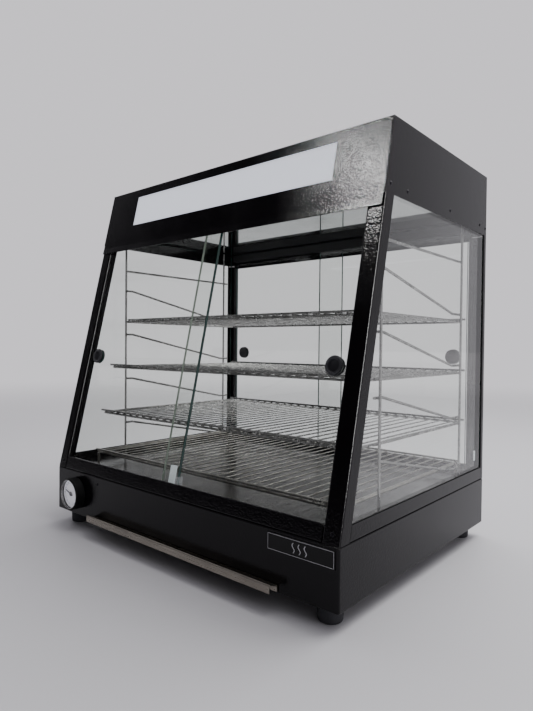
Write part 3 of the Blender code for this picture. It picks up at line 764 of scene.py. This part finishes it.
base = {
    "corner": 2.6, "edge": 1.5, "edgeSteps": 5, "bend": 1.6, "flange": 9.0, "seamGap": 0.35,
    "traySlot": ((-185.4, -6, 25.3), (220.4, 14, 33.9)),
    "switchSlot": ((43, 444, 49), (101, 456, 75)),
    "holes": ((9, -250, 55), (5, 150, 62)), "holeReach": 6,
    "vents": 5, "ventPitch": 8, "ventLow": (-150, 444, 44), "ventHigh": (-60, 456, 47),
}


def makeBase():
    low, top = case["foot"], case["seam"] - base["seamGap"]
    edge, bend, sheet, flange = base["edge"], base["bend"], case["sheet"], base["flange"]
    turns = [math.pi / 2 * i / base["edgeSteps"] for i in range(base["edgeSteps"] + 1)]
    curve = [(edge * (1 - math.sin(a)), edge * (1 - math.cos(a))) for a in turns]
    outer = [(flange, low)] + [(inset, low + rise) for inset, rise in curve]
    outer += [(inset, top - rise) for inset, rise in reversed(curve)] + [(flange, top)]
    inner = [
        (flange, top - sheet), (bend, top - sheet), (sheet, top - bend),
        (sheet, low + bend), (bend, low + sheet), (flange, low + sheet),
    ]
    half, depth = case["half"], case["depth"]
    shell = hoopMesh(outer + inner, (half, depth / 2), (0, depth / 2), base["corner"])
    cutters = [blockMesh(*base["traySlot"])]
    for radius, x, z in base["holes"]:
        cutters.append(drillMesh(radius, base["holeReach"], facingBack(x, depth, z), 32))
    cutters.append(blockMesh(*base["switchSlot"]))
    for row in range(base["vents"]):
        lift = Vector((0, 0, base["ventPitch"] * row))
        cutters.append(blockMesh(Vector(base["ventLow"]) + lift, Vector(base["ventHigh"]) + lift))
    coatedPiece("baseShell", carved(shell, cutters), ["base_shell"])


foot = {"top": 17.0, "bottom": 15.2, "x": 278, "rows": {"front": 28, "rear": 422}, "steps": 40}


def makeFeet():
    top, bottom, down = foot["top"], foot["bottom"], -case["foot"]
    profile = [
        (0, 0), (top, 0), (top, -2.6), (top - 0.7, -3.4), (top - 0.9, -5.0),
        (bottom + 0.3, down + 2.4), (bottom - 0.2, down + 1.0), (bottom - 1.4, down),
        (7.5, down), (6.5, down + 3), (0, down + 3),
    ]
    feet = []
    for y in foot["rows"].values():
        for sign in sides.values():
            place = Matrix.Translation(at(sign * foot["x"], y, case["foot"]))
            feet.append(turnedMesh(profile, place, foot["steps"]))
    nodes = [f"foot_{row}_{side}" for row in foot["rows"] for side in sides]
    piece("rubberFeet", joined(feet), footRubber, stands=nodes)


makeBase()
makeFeet()


# Posts and rails

post = {"face": 25.0, "side": 21.0, "back": 14.0, "rearSide": 11.0, "fold": 2.8}
rail = {"high": 121.0, "sideHigh": 120.0, "fold": 1.8, "gap": 0.4, "endGap": 0.6}


def makePosts():
    low, high = case["seam"] + case["seamGap"], case["header"] - case["seamGap"]
    rise = high - low
    front, rear, back = frontAt(low), case["depth"], post["back"]
    inner, outer = case["half"] - post["face"], case["half"]
    rows = {
        "front": (front, front + back, front + post["side"], case["lean"] * rise),
        "rear": (rear, rear - back, rear - post["rearSide"], 0),
    }
    for row, (face, behind, beside, shift) in rows.items():
        posts = []
        for sign in sides.values():
            line = [(sign * inner, behind), (sign * inner, face), (sign * outer, face), (sign * outer, beside)]
            if (sign < 0) == (row == "front"):
                line.reverse()
            run = Vector((0, shift, rise)) * mm
            posts.append(sectionMesh(line, post["fold"], case["sheet"], lambda x, y: at(x, y, low), run))
        coatedPiece(f"{row}Posts", joined(posts), [f"post_{row}_{side}" for side in sides])


def makeRails():
    low, high, depth = case["seam"] + case["seamGap"], rail["high"], case["depth"]
    span = case["half"] - post["face"] - rail["endGap"]
    lines = {
        "front": [(frontAt(high) + 3.0, high), (frontAt(high), high), (frontAt(low), low), (25, low)],
        "rear": [(depth - 26, low), (depth, low), (depth, high), (depth - 3.2, high)],
    }
    run = Vector((2 * span * mm, 0, 0))
    for row, line in lines.items():
        mesh = sectionMesh(line, rail["fold"], case["sheet"], lambda y, z: at(-span, y, z), run)
        coatedPiece(f"{row}Rail", mesh, [f"rail_{row}"])
    meshes = []
    begin, end = post["side"] + rail["gap"], depth - post["rearSide"] - rail["gap"]
    run = Vector((0, (end - begin) * mm, 0))
    for sign in sides.values():
        out = sign * case["half"]
        line = [(sign * (case["half"] - 20), low), (out, low), (out, rail["sideHigh"])]
        if sign < 0:
            line.reverse()
        mesh = sectionMesh(line, rail["fold"], case["sheet"], lambda x, z: at(x, begin, z), run)
        for vertex in mesh.vertices:  # the front end leans with the post
            if vertex.co.y < at(0, begin + 1, 0).y:
                vertex.co.y += case["lean"] * (vertex.co.z - case["seam"] * mm)
        meshes.append(mesh)
    coatedPiece("sideRails", joined(meshes), [f"rail_side_{side}" for side in sides])


makePosts()
makeRails()


# Header

header = {
    "half": 307.2, "step": 2.2, "lipTop": 512.4, "lipLow": 502.0, "lipFront": 88.8, "fold": 1.6, "return": 12,
    "coverGap": 1.6, "endHalf": 0.6, "signHalf": 223.5, "signLow": 549.5, "signHigh": 604.5,
    "signBack": 1.6, "signLap": 8, "signThick": 3,
}


def makeHeader():
    inner = header["half"] - header["coverGap"]
    low, high, depth, step = case["header"], case["height"], case["depth"], header["step"]
    line = [
        (depth - header["return"], low),
        (depth, low),
        (depth, high),
        (frontAt(high) - step, high),
        (frontAt(header["lipTop"]) - step, header["lipTop"]),
        (header["lipFront"], header["lipLow"]),
    ]
    run = Vector((2 * inner * mm, 0, 0))
    cover = sectionMesh(line, header["fold"], case["sheet"], lambda y, z: at(-inner, y, z), run)
    bottom, top = (upSlope(header[key] - step * math.sin(tilt)) for key in ("signLow", "signHigh"))
    half, lap = header["signHalf"], header["signLap"]
    window = blockMesh((-half, -8, bottom), (half, 6, top), slope)
    coatedPiece("headerCover", carved(cover, [window]), ["header_cover"], 0.3)

    outline = [(frontAt(low) - step, low), (depth, low), (depth, high), (frontAt(high) - step, high)]
    ends = []
    for sign in sides.values():
        place = Matrix.Translation(at(sign * (header["half"] - header["endHalf"]), 0, 0)) @ sideways
        ends.append(prismMesh(outline, -header["endHalf"], header["endHalf"], place))
    coatedPiece("headerEnds", joined(ends), [f"header_side_{side}" for side in sides], 0.35, 3)

    behind = header["signBack"] - step * math.cos(tilt)
    ahead = behind + header["signThick"]
    sheet = blockMesh((-half - lap, behind, bottom - lap), (half + lap, ahead, top + lap), slope)
    piece("signPanel", softened(sheet, 0.3), opalSheetPaintedGlow, stands=["sign_panel"])


makeHeader()


# Glass

glass = {
    "thick": 4.0, "sideX": 304.3, "low": 103.0, "high": 541.0, "rear": 446.5, "inset": 5,
    "doors": {"left": (-282.4, 19.0, 4.0), "right": (-31.0, 282.4, 14.5)},
    "frontSpan": (9.1, 437.8), "rearSpan": (103.9, 537.0),
    "pullX": 258.0, "pullZ": 305.0, "rearPullZ": 310, "hole": 10.2,
    "ground": 0.45, "arris": {"left": 1.4, "right": 0.45}, "band": {"left": 16.2, "right": None},
}


def paneMesh(outline, matrix, holes=(), arris=glass["ground"], band=None, shadedEnd=0):
    # A pane with ground edges: its broad faces are clear and its edges are the second material,
    # as is the band of face that shows its end. Its outer end, hidden behind the post, is black: a painted
    # shadow.
    half = glass["thick"] / 2
    mesh = prismMesh(outline, -half, half, matrix)
    if holes:
        mesh = carved(mesh, holes)
    mesh = softened(mesh, arris, 1, 60)
    if band:
        bm = bmesh.new()
        bm.from_mesh(mesh)
        parts = bm.verts[:] + bm.edges[:] + bm.faces[:]
        bmesh.ops.bisect_plane(bm, geom=parts, plane_co=(band * mm, 0, 0), plane_no=(1, 0, 0))
        mesh = meshFrom(bm)
    normal = (matrix.to_3x3() @ Vector((0, 0, 1))).normalized()
    for material in (paneGlass, glassEdge, gasketRubber):
        mesh.materials.append(material)
    for face in mesh.polygons:
        clear = abs(face.normal.dot(normal)) > 0.99 and not (band and face.center.x > band * mm)
        face.material_index = 0 if clear else 2 if face.normal.x * shadedEnd > 0.9 else 1
    return mesh


def panePiece(name, mesh, finishes, node, body="case"):  # the lamps' own mirror images stay off it
    unlit.objects.link(piece(name, mesh, finishes, body, [node]))
    unlit.collection_objects[-1].light_linking.link_state = "EXCLUDE"


def doorPane(span, start, end, matrix, spot, *more):
    low, high = span
    outline = [(start, low), (end, low), (end, high), (start, high)]
    return paneMesh(outline, matrix, [drillMesh(glass["hole"], 9, spot, 40)], *more)


def makeGlass():
    low, high, rear, inset = glass["low"], glass["high"], glass["rear"], glass["inset"]
    outline = [(frontAt(low) + inset, low), (rear, low), (rear, high), (frontAt(high) + inset, high)]
    for side, sign in sides.items():
        place = Matrix.Translation(at(sign * glass["sideX"], 0, 0)) @ sideways
        panePiece(f"sidePane_{side}", paneMesh(outline, place), [paneGlass, glassEdge], f"side_glass_{side}")
    middle = glass["thick"] / 2
    for side, (start, end, depth) in glass["doors"].items():
        x = sides[side] * glass["pullX"]
        spot = leaning(x, depth, upSlope(glass["pullZ"]))
        trim = (glass["arris"][side], glass["band"][side], sides[side])
        mesh = doorPane(glass["frontSpan"], start, end, leaning(0, depth + middle, 0), spot, *trim)
        edge = {"left": glassEdge, "right": litEdge}[side]
        finishes = [paneGlass, edge, gasketRubber]
        panePiece(f"frontPane_{side}", mesh, finishes, f"door_front_{side}", f"front_{side}_door")
        face = case["depth"] - depth
        spot = facingBack(x, face, glass["rearPullZ"])
        mesh = doorPane(glass["rearSpan"], start, end, facingFront(0, face - middle, 0), spot)
        panePiece(f"rearPane_{side}", mesh, [paneGlass, glassEdge], f"door_rear_{side}", f"rear_{side}_door")


pull = {"hole": 10.0, "rim": 12.6, "proud": 3.9, "recess": -2.4, "behind": -5.5, "ribs": 32}


def makePulls():
    front, back, deep, rim, hole = pull["proud"], pull["behind"], pull["recess"], pull["rim"], pull["hole"]
    profile = [
        (0, deep), (6.6, deep), (7.8, deep + 0.5), (8.3, deep + 1.6),
        (8.5, front - 1.6), (8.9, front - 0.7), (9.6, front - 0.1), (10.4, front),
        (11.4, front - 0.25), (12.2, front - 0.9), (rim, front - 1.7), (rim, 0.2), (hole, 0.2), (hole, -4.2),
        (11.8, -4.2), (rim, -4.6), (rim, back + 0.4), (12.2, back),
        (7.2, back), (6.6, back + 0.4), (0, back + 0.4),
    ]
    for side, (_, _, depth) in glass["doors"].items():
        x = sides[side] * glass["pullX"]
        spots = {
            "front": leaning(x, depth, upSlope(glass["pullZ"])),
            "rear": facingBack(x, case["depth"] - depth, glass["rearPullZ"]),
        }
        for row, place in spots.items():
            ribs = barsMesh(place @ shifted(0, 0, 1.3), mouldedBlack, pull["ribs"], 12.5, (1.3, 1.3, 2.3))
            mesh = joined([turnedMesh(profile, place, 56), ribs])
            body, node = f"{row}_{side}_door", f"pull_{row}_{side}"
            piece(f"{row}Pull_{side}", mesh, mouldedBlack, body, [node])


seal = {
    "innerX": 306.45, "outerX": 307.3, "width": 1.8, "lean": 20.5,
    "stop": ((-22, 20.3, 9), (-10, 24.3, 46)),
    "guard": [(15, -1.4), (20.6, -1.4), (20.6, 9.4), (15, 9.4)],
    "guardDepth": 2.6, "guardLow": 13, "guardLong": 20,
    "clipX": 300.5, "clipThick": 1.6, "clipLow": (424, 133), "clipHigh": (428.5, 150),
}


def makeSeals():
    # Thin black strips where the side panes meet the posts and rails, a painted shadow in the gaps, and clear
    # bumpers on the doors.
    strips, clips = [], []
    for sign in sides.values():
        a, b = sorted((sign * seal["innerX"], sign * seal["outerX"]))
        strips.append(blockMesh((a, 437.0, 119.0), (b, 439.8, 519.5)))
        strips.append(blockMesh((a, 27.5, 119.2), (b, 438.0, 120.9)))
        strips.append(blockMesh((a, 0, 20.5), (b, seal["width"], 428.0), shifted(0, seal["lean"], 0) @ slope))
        a, b = sorted((sign * seal["clipX"], sign * (seal["clipX"] + seal["clipThick"])))
        clips.append(blockMesh((a, *seal["clipLow"]), (b, *seal["clipHigh"])))
    piece("paneGaskets", softened(joined(strips), 0.15), gasketRubber)
    stop = blockMesh(*seal["stop"], slope)
    piece("centreStop", softened(stop, 0.6, 3), milkyPlasticPaintedGlow, stands=["door_centre_stop"])

    def onSlope(x, depth):
        return slope @ (Vector((x, depth + seal["guardDepth"], seal["guardLow"])) * mm)

    run = slope.to_3x3() @ Vector((0, 0, seal["guardLong"] * mm))
    guard = sectionMesh(seal["guard"], 1.0, 1.1, onSlope, run)
    piece("doorEdgeGuard", softened(guard, 0.2), clearPlastic, "front_left_door")
    piece("paneClips", softened(joined(clips), 0.4, 3), milkyPlasticPaintedGlow)


makeGlass()
makePulls()
makeSeals()
print("glass made")


# Wire ladders and racks

ladder = {
    "x": 284.6, "rungX": 280.6, "weldX": 282.6, "wire": 2.0, "weld": 2.3, "low": 107.2, "high": 541.0,
    "front": 129.0, "rear": 401.0, "reach": {"left": 3.5, "right": 9.0}, "rearReach": 9.0,
    "bend": 13.0, "rearBend": {"left": 14.0, "right": 27.0}, "drop": 50.0, "fillet": 9.0,
    "level": (471.0, 371.0, 283.0, 197.0), "falling": (432.0, 346.0, 258.5, 171.5),
}
supports = dict(zip(("top", "middle", "lower"), ladder["level"][1:]))


def makeLadders():
    near, far, drop = ladder["front"], ladder["rear"], ladder["drop"]
    for side, sign in sides.items():
        front, rear = near - ladder["reach"][side], far + ladder["rearReach"]
        outX, x = sign * ladder["x"], sign * ladder["rungX"]
        uprights = [[(outX, y, ladder["low"]), (outX, y, ladder["high"])] for y in (near, far)]
        rungs = [[(x, front, z), (x, rear, z)] for z in ladder["level"]]
        bends = near + ladder["bend"], far - ladder["rearBend"][side]
        for z in ladder["falling"]:
            rungs.append([(x, front, z), (x, bends[0], z), (x, bends[1], z - drop), (x, rear, z - drop)])
        tip = [(0, 1.6), (3.4, 1.6), (4.2, 0.9), (4.2, 0), (0, 0)]
        feet = [turnedMesh(tip, Matrix.Translation(at(outX, y, 107.1)), 20) for y in (near, far)]
        spots = [(y, z) for z in ladder["level"] for y in (near, far)]
        spots += [(y, z - lower) for z in ladder["falling"] for y, lower in ((near, 0), (far, drop))]
        welds = []
        for y, z in spots:
            ball = bmesh.new()
            place = Matrix.Translation(at(sign * ladder["weldX"], y, z))
            bmesh.ops.create_icosphere(ball, subdivisions=2, radius=ladder["weld"] * mm, matrix=place)
            welds.append(meshFrom(ball))
        wires = wireMesh(uprights + rungs, ladder["wire"], ladder["fillet"], chromeWire, 12)
        mesh = joined([wires, *feet, *welds])
        node = f"ladder_{side}"
        piece(f"wireLadder_{side}", mesh, chromeWire, stands=[node], angle=smooth["wires"])


rack = {
    "rod": 1.9, "wire": 1.2, "pitch": 19.2, "half": 282.0, "hang": 6.2, "weld": 0.75, "rear": 428.0,
    "fillet": 6.0, "fronts": {"top": 131.0, "middle": 91.0, "lower": 72.0},
    "floorHigh": 128.5, "floorFront": 57.0, "floorHalf": 276.0,
    "legX": 269, "legY": (59.0, 426.0), "legs": (107.3, 122.0),
}


def rackMesh(upper, front, half, material):
    # The upper rods' ends rest on the ladders. The cross wires are welded under them, on a lower
    # frame that hangs between the ladders.
    rod, wire = rack["rod"], rack["wire"]
    near, far = front + rod, rack["rear"] - rod
    lower, side = upper - 2 * (rod + wire - rack["weld"]), half - rack["hang"]
    hoop = [(0, near), (-side, near), (-side, far), (side, far), (side, near), (0.5, near)]
    runs = [[(x, y, lower) for x, y in hoop]]
    runs += [[(-half, y, upper), (half, y, upper)] for y in (near, far)]
    rods = wireMesh(runs, rod, rack["fillet"], material)
    level = (upper + lower) / 2
    count = int(2 * (half - 7) / rack["pitch"]) + 1
    row = runTree(linesMesh([[(0, front + 0.4, level), (0, rack["rear"] - 0.4, level)]]), rowTree, {
        "Count": count, "Pitch": rack["pitch"] * mm, "Start": -(count - 1) * rack["pitch"] * mm / 2,
        "Radius": wire * mm, "Bend": 0.001, "Sides": 8, "Material": material,
    })
    return joined([rods, row])


def makeRacks():
    for name, z in supports.items():
        high = z + ladder["wire"] + rack["rod"] + 0.1
        mesh = rackMesh(high, rack["fronts"][name], rack["half"], chromeWire)
        node = f"shelf_{name}"
        piece(f"wireShelf_{name}", mesh, chromeWire, stands=[node], angle=smooth["wires"])
    low, high = rack["legs"]
    feet = [(sign * rack["legX"], y) for sign in sides.values() for y in rack["legY"]]
    legs = [[(x, y, low), (x, y, high)] for x, y in feet]
    mesh = joined([
        rackMesh(rack["floorHigh"], rack["floorFront"], rack["floorHalf"], wornWire),
        wireMesh(legs, 2.0, 1.0, wornWire),
    ])
    piece("floorRack", mesh, wornWire, stands=["floor_rack"], angle=smooth["wires"])


pan = {"low": 101.9, "under": 106.0, "top": 107.0, "half": (301, 201), "middle": (0, 228), "corner": 3.0}


def makeFloorPan():
    low, under, top = pan["low"], pan["under"], pan["top"]
    profile = [(0.6, top), (0.0, top - 0.6), (0.0, low), (1.0, low), (1.0, under), (5.0, under), (5.0, top)]
    rim = hoopMesh(profile, pan["half"], pan["middle"], pan["corner"])
    plate = blockMesh((-297, 31, under), (297, 425, top - 0.05))
    piece("floorPan", joined([rim, plate]), floorSteel, stands=["floor_pan"])


makeLadders()
makeRacks()
makeFloorPan()
print("racks made")


# Crumb tray

tray = {
    "left": -185.0, "right": 220.0, "back": 406.0, "low": 26.0, "top": 33.2, "inset": 1.5, "wall": 1,
    "grip": [(-1.6, 25.2), (-1.6, 33.0), (-17.0, 38.6), (-17.0, 27.2)], "fold": 1.6, "sheet": 1.0,
}


def makeCrumbTray():
    run = Vector(((tray["right"] - tray["left"]) * mm, 0, 0))
    grip = sectionMesh(tray["grip"], tray["fold"], tray["sheet"], lambda y, z: at(tray["left"], y, z), run)
    left, right, wall = tray["left"] + tray["inset"], tray["right"] - tray["inset"], tray["wall"]
    outside = blockMesh((left, -1.2, tray["low"]), (right, tray["back"], tray["top"]))
    inside = blockMesh((left + wall, -0.4, tray["low"] + wall), (right - wall, tray["back"] - wall, 50))
    mesh = joined([softened(grip, 0.25), softened(carved(outside, [inside]), 0.2)])
    piece("crumbTray", mesh, traySteel, "crumb_drawer", ["crumb_tray"])


makeCrumbTray()


# Thermometer and badge

dial = {
    "x": -243.0, "z": 62.5, "needle": 162.0, "needleHigh": 13.1, "steps": 72, "arcFrom": -45,
    "case": [
        (0, 10.9), (24.5, 10.9), (24.5, 14.0), (25.5, 14.0), (25.5, 17.0), (26.4, 17.1), (27.3, 16.4),
        (27.6, 15.2), (27.6, 2.2), (27.0, 1.0), (26.0, 0.3), (5, 0.3), (5, -12), (0, -12),
    ],
    "face": [(0, 12.0), (24.1, 12.0), (24.1, 11.1), (0, 11.1)],
    "ring": [(18.2, 0.05), (18.5, 0.05), (18.5, -0.05), (18.2, -0.05)],
    "rim": [
        (24.2, 17.4), (24.4, 17.8), (24.9, 17.9), (25.2, 17.6),
        (25.3, 14.3), (24.5, 14.3), (24.5, 16.6), (24.3, 16.6),
    ],
    "lens": [(0, 16.1), (24.2, 16.0), (24.2, 14.7), (0, 14.8)],
    "hub": [(0, 13.8), (3.1, 13.75), (3.9, 13.3), (3.9, 12.5), (0, 12.5)],
    "pointer": [(0, -1.5), (17.3, -0.5), (17.3, 0.5), (0, 1.5), (-6, 1.3), (-6, -1.3)],
}


def makeThermometer():
    place = facingFront(dial["x"], 0, dial["z"])
    steps = dial["steps"]
    shell = turnedMesh(dial["case"], place, steps)
    piece("thermometerCase", shell, caseBlack, stands=["thermometer_case"])
    face = turnedMesh(dial["face"], place, steps)
    piece("dialFace", face, dialWhitePaintedGlow, stands=["thermometer_dial"])
    spot = place @ shifted(0, 0, 12.04)
    marks = [
        barsMesh(spot, inkBlack, 13, 20.2, (3.0, 0.55, 0.12), dial["arcFrom"], 22.5),
        barsMesh(spot, inkBlack, 61, 21.0, (1.4, 0.22, 0.1), dial["arcFrom"], 4.5),
        turnedMesh(dial["ring"], spot, 64, closed=True),
    ]
    piece("dialMarks", joined(marks), inkBlack)
    rim = turnedMesh(dial["rim"], place, steps, closed=True)
    piece("dialBezel", rim, bezelSteel, stands=["thermometer_bezel"])
    lens = turnedMesh(dial["lens"], place, 64)
    piece("dialLens", lens, lensGlass, stands=["thermometer_lens"])
    turn = place @ shifted(0, 0, dial["needleHigh"]) @ Matrix.Rotation(math.radians(dial["needle"]), 4, "Z")
    pointer = softened(prismMesh(dial["pointer"], -0.35, 0.35, turn), 0.12)
    mesh = joined([pointer, turnedMesh(dial["hub"], place, 28)])
    piece("dialNeedle", mesh, inkBlack, "thermometer_needle", ["thermometer_pointer"])


badge = {
    "low": (201.6, 73.3), "high": (303.1, 96.4), "inset": 1.7, "line": 0.45, "ink": (-1.08, -0.95),
    "waves": 3, "pitch": 9, "sway": 1.7, "rise": 12, "steps": 12,
}


def makeBadge():
    (x0, z0), (x1, z1) = badge["low"], badge["high"]
    plate = softened(blockMesh((x0, -1.0, z0), (x1, -0.3, z1)), 0.3)
    piece("badgePlate", plate, plateCoat, stands=["badge_plate"])
    inset, line, (front, back) = badge["inset"], badge["line"], badge["ink"]
    centre, middle = (x0 + x1) / 2, (z0 + z1) / 2
    x0, z0, x1, z1 = x0 + inset, z0 + inset, x1 - inset, z1 - inset
    spans = (
        (x0, z0, x1, z0 + line), (x0, z1 - line, x1, z1),
        (x0, z0, x0 + line, z1), (x1 - line, z0, x1, z1),
    )
    lines = [blockMesh((a, front, b), (c, back, d)) for a, b, c, d in spans]
    # Three rising heat waves, a plain sign for warm food.
    waves = []
    for k in range(badge["waves"]):
        run = []
        for step in range(badge["steps"] + 1):
            share = step / badge["steps"]
            x = centre + (k - 1) * badge["pitch"] + badge["sway"] * math.sin(math.tau * share)
            run.append((x, -1.02, middle + badge["rise"] * (share - 0.5)))
        waves.append(run)
    mesh = joined(lines + [wireMesh(waves, 0.5, 0.2, inkGrey, 6)])
    piece("badgePrint", mesh, inkGrey)


makeThermometer()
makeBadge()


# Rear controls

knob = {
    "x": 150.0, "z": 62.0, "flutes": 24, "marks": 10,
    "profile": [
        (0, 17.6), (10.5, 17.6), (12.6, 17.3), (13.6, 16.6), (14.2, 15.4), (15.6, 6.6), (16.6, 5.4),
        (19.2, 4.4), (19.9, 3.6), (19.9, 1.2), (3.4, 1.2), (3.4, 13), (0, 13),
    ],
}


def makeKnob():
    x, z, depth = knob["x"], knob["z"], case["depth"]
    place = facingBack(x, depth, z)
    flutes = barsMesh(place @ shifted(0, 0, 11), mouldedBlack, knob["flutes"], 14.5, (1.4, 1.5, 8.5))
    ridge = softened(blockMesh((x - 1.5, depth + 4, z + 8), (x + 1.5, depth + 18, z + 17.5)), 0.4, 3)
    mesh = joined([turnedMesh(knob["profile"], place, 64), flutes, ridge])
    piece("thermostatKnob", mesh, mouldedBlack, "thermostat_dial", ["thermostat_knob"])
    marks = barsMesh(place @ shifted(0, 0, 0.08), inkGrey, knob["marks"], 24.5, (3.2, 0.8, 0.16), 90, 30)
    piece("knobScale", marks, inkGrey)


rocker = {
    "power": (58.0, lampRed), "lamp": (86.0, mouldedBlack), "half": 10.2,
    "pivot": (446, 62), "tip": math.radians(6),
    "outline": [(-3, -8.4), (8.2, -8.4), (7.2, -4.5), (6.6, 0), (7.2, 4.5), (8.2, 8.4), (-3, 8.4)],
}


def makeRockers():
    for name in ("power", "lamp"):
        x, finish = rocker[name]
        turn = Matrix.Translation(at(x, *rocker["pivot"])) @ Matrix.Rotation(rocker["tip"], 4, "X") @ sideways
        mesh = softened(prismMesh(rocker["outline"], -rocker["half"], rocker["half"], turn), 0.5, 3, 50)
        piece(f"{name}Rocker", mesh, finish, f"{name}_switch", [f"rocker_{name}"])


gland = {
    "x": -250, "z": 55,
    "profile": [
        (6.3, 15), (7.6, 14.4), (8.7, 12), (9.6, 6.4), (10.2, 6), (12.4, 5.6),
        (13, 4.8), (13, 0.4), (8.6, 0.4), (8.6, -6), (4, -6), (4, 15),
    ],
}


def makeGland():
    spot = facingBack(gland["x"], case["depth"], gland["z"])
    nut = barsMesh(spot @ shifted(0, 0, 3), mouldedBlack, 6, 11.4, (2.6, 9.0, 4.4))
    mesh = joined([turnedMesh(gland["profile"], spot, 48, closed=True), nut])
    piece("cordGland", mesh, mouldedBlack, stands=["cable_gland"])


makeKnob()
makeRockers()
makeGland()
print("controls made")


# Screws

screws = {
    "head": 2.6, "rise": 0.8, "slot": 0.32, "seed": 4,
    "side": ((109, 532), (155, 531), (295, 533), (419, 533), (445, 531)),
    "back": ((290, 112), (290, 505), (296, 88), (110, 532), (285, 532)),
    "post": (296, 112), "front": (-179, 88),
}


def makeScrewHead():
    radius, rise, slot = screws["head"], screws["rise"], screws["slot"]
    head = turnedMesh([
        (0, rise), (radius * 0.45, rise * 0.97), (radius * 0.8, rise * 0.72),
        (radius, rise * 0.2), (radius, -0.2), (0, -0.2),
    ], Matrix(), 20)
    slots = [blockMesh((-x, -y, 0.2), (x, y, 3), Matrix()) for x, y in ((1.5, slot), (slot, 1.5))]
    return newObject("screwHead", carved(head, slots))


def makeScrews():
    head = makeScrewHead()
    points = []
    for sign in sides.values():
        for y, z in screws["side"]:
            points.append(((sign * header["half"], y, z), (sign, 0, 0)))
        for x, z in screws["back"]:
            points.append(((sign * x, case["depth"], z), (0, 1, 0)))
        x, z = screws["post"]
        points.append(((sign * x, frontAt(z), z), (0, -math.cos(tilt), math.sin(tilt))))
    x, z = screws["front"]
    points.append(((x, 0, z), (0, -1, 0)))
    bm = bmesh.new()
    facing = bm.verts.layers.float_vector.new("facing")
    for spot, way in points:
        vertex = bm.verts.new(at(*spot))
        vertex[facing] = Vector(way)
    mesh = runTree(meshFrom(bm), fixingTree, {"Head": head, "Seed": screws["seed"], "Material": blackScrew})
    bpy.data.objects.remove(head, do_unlink=True)
    piece("caseScrews", mesh, blackScrew)


makeScrews()
print("screws made")


# Pieces that keep their own shape

finishes = {
    "base_bottom": powderCoat, "rail_top_rear": powderCoat,
    "track_front_low": trackBlack, "track_front_top": trackBlack,
    "track_rear_low": trackBlack, "track_rear_top": trackBlack,
    "ceiling_panel": mirrorSteel, "tray_guide": traySteel, "element_bridge": traySteel,
    "heating_element": sheathSteel, "lamp_tube": lampWhite, "lamp_fitting": traySteel,
    "thermostat_body": mouldedBlack, "switch_frame": mouldedBlack,
}
for name, material in finishes.items():
    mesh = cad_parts[name].data
    mesh.materials.clear()
    mesh.materials.append(material)
print("finishes set")
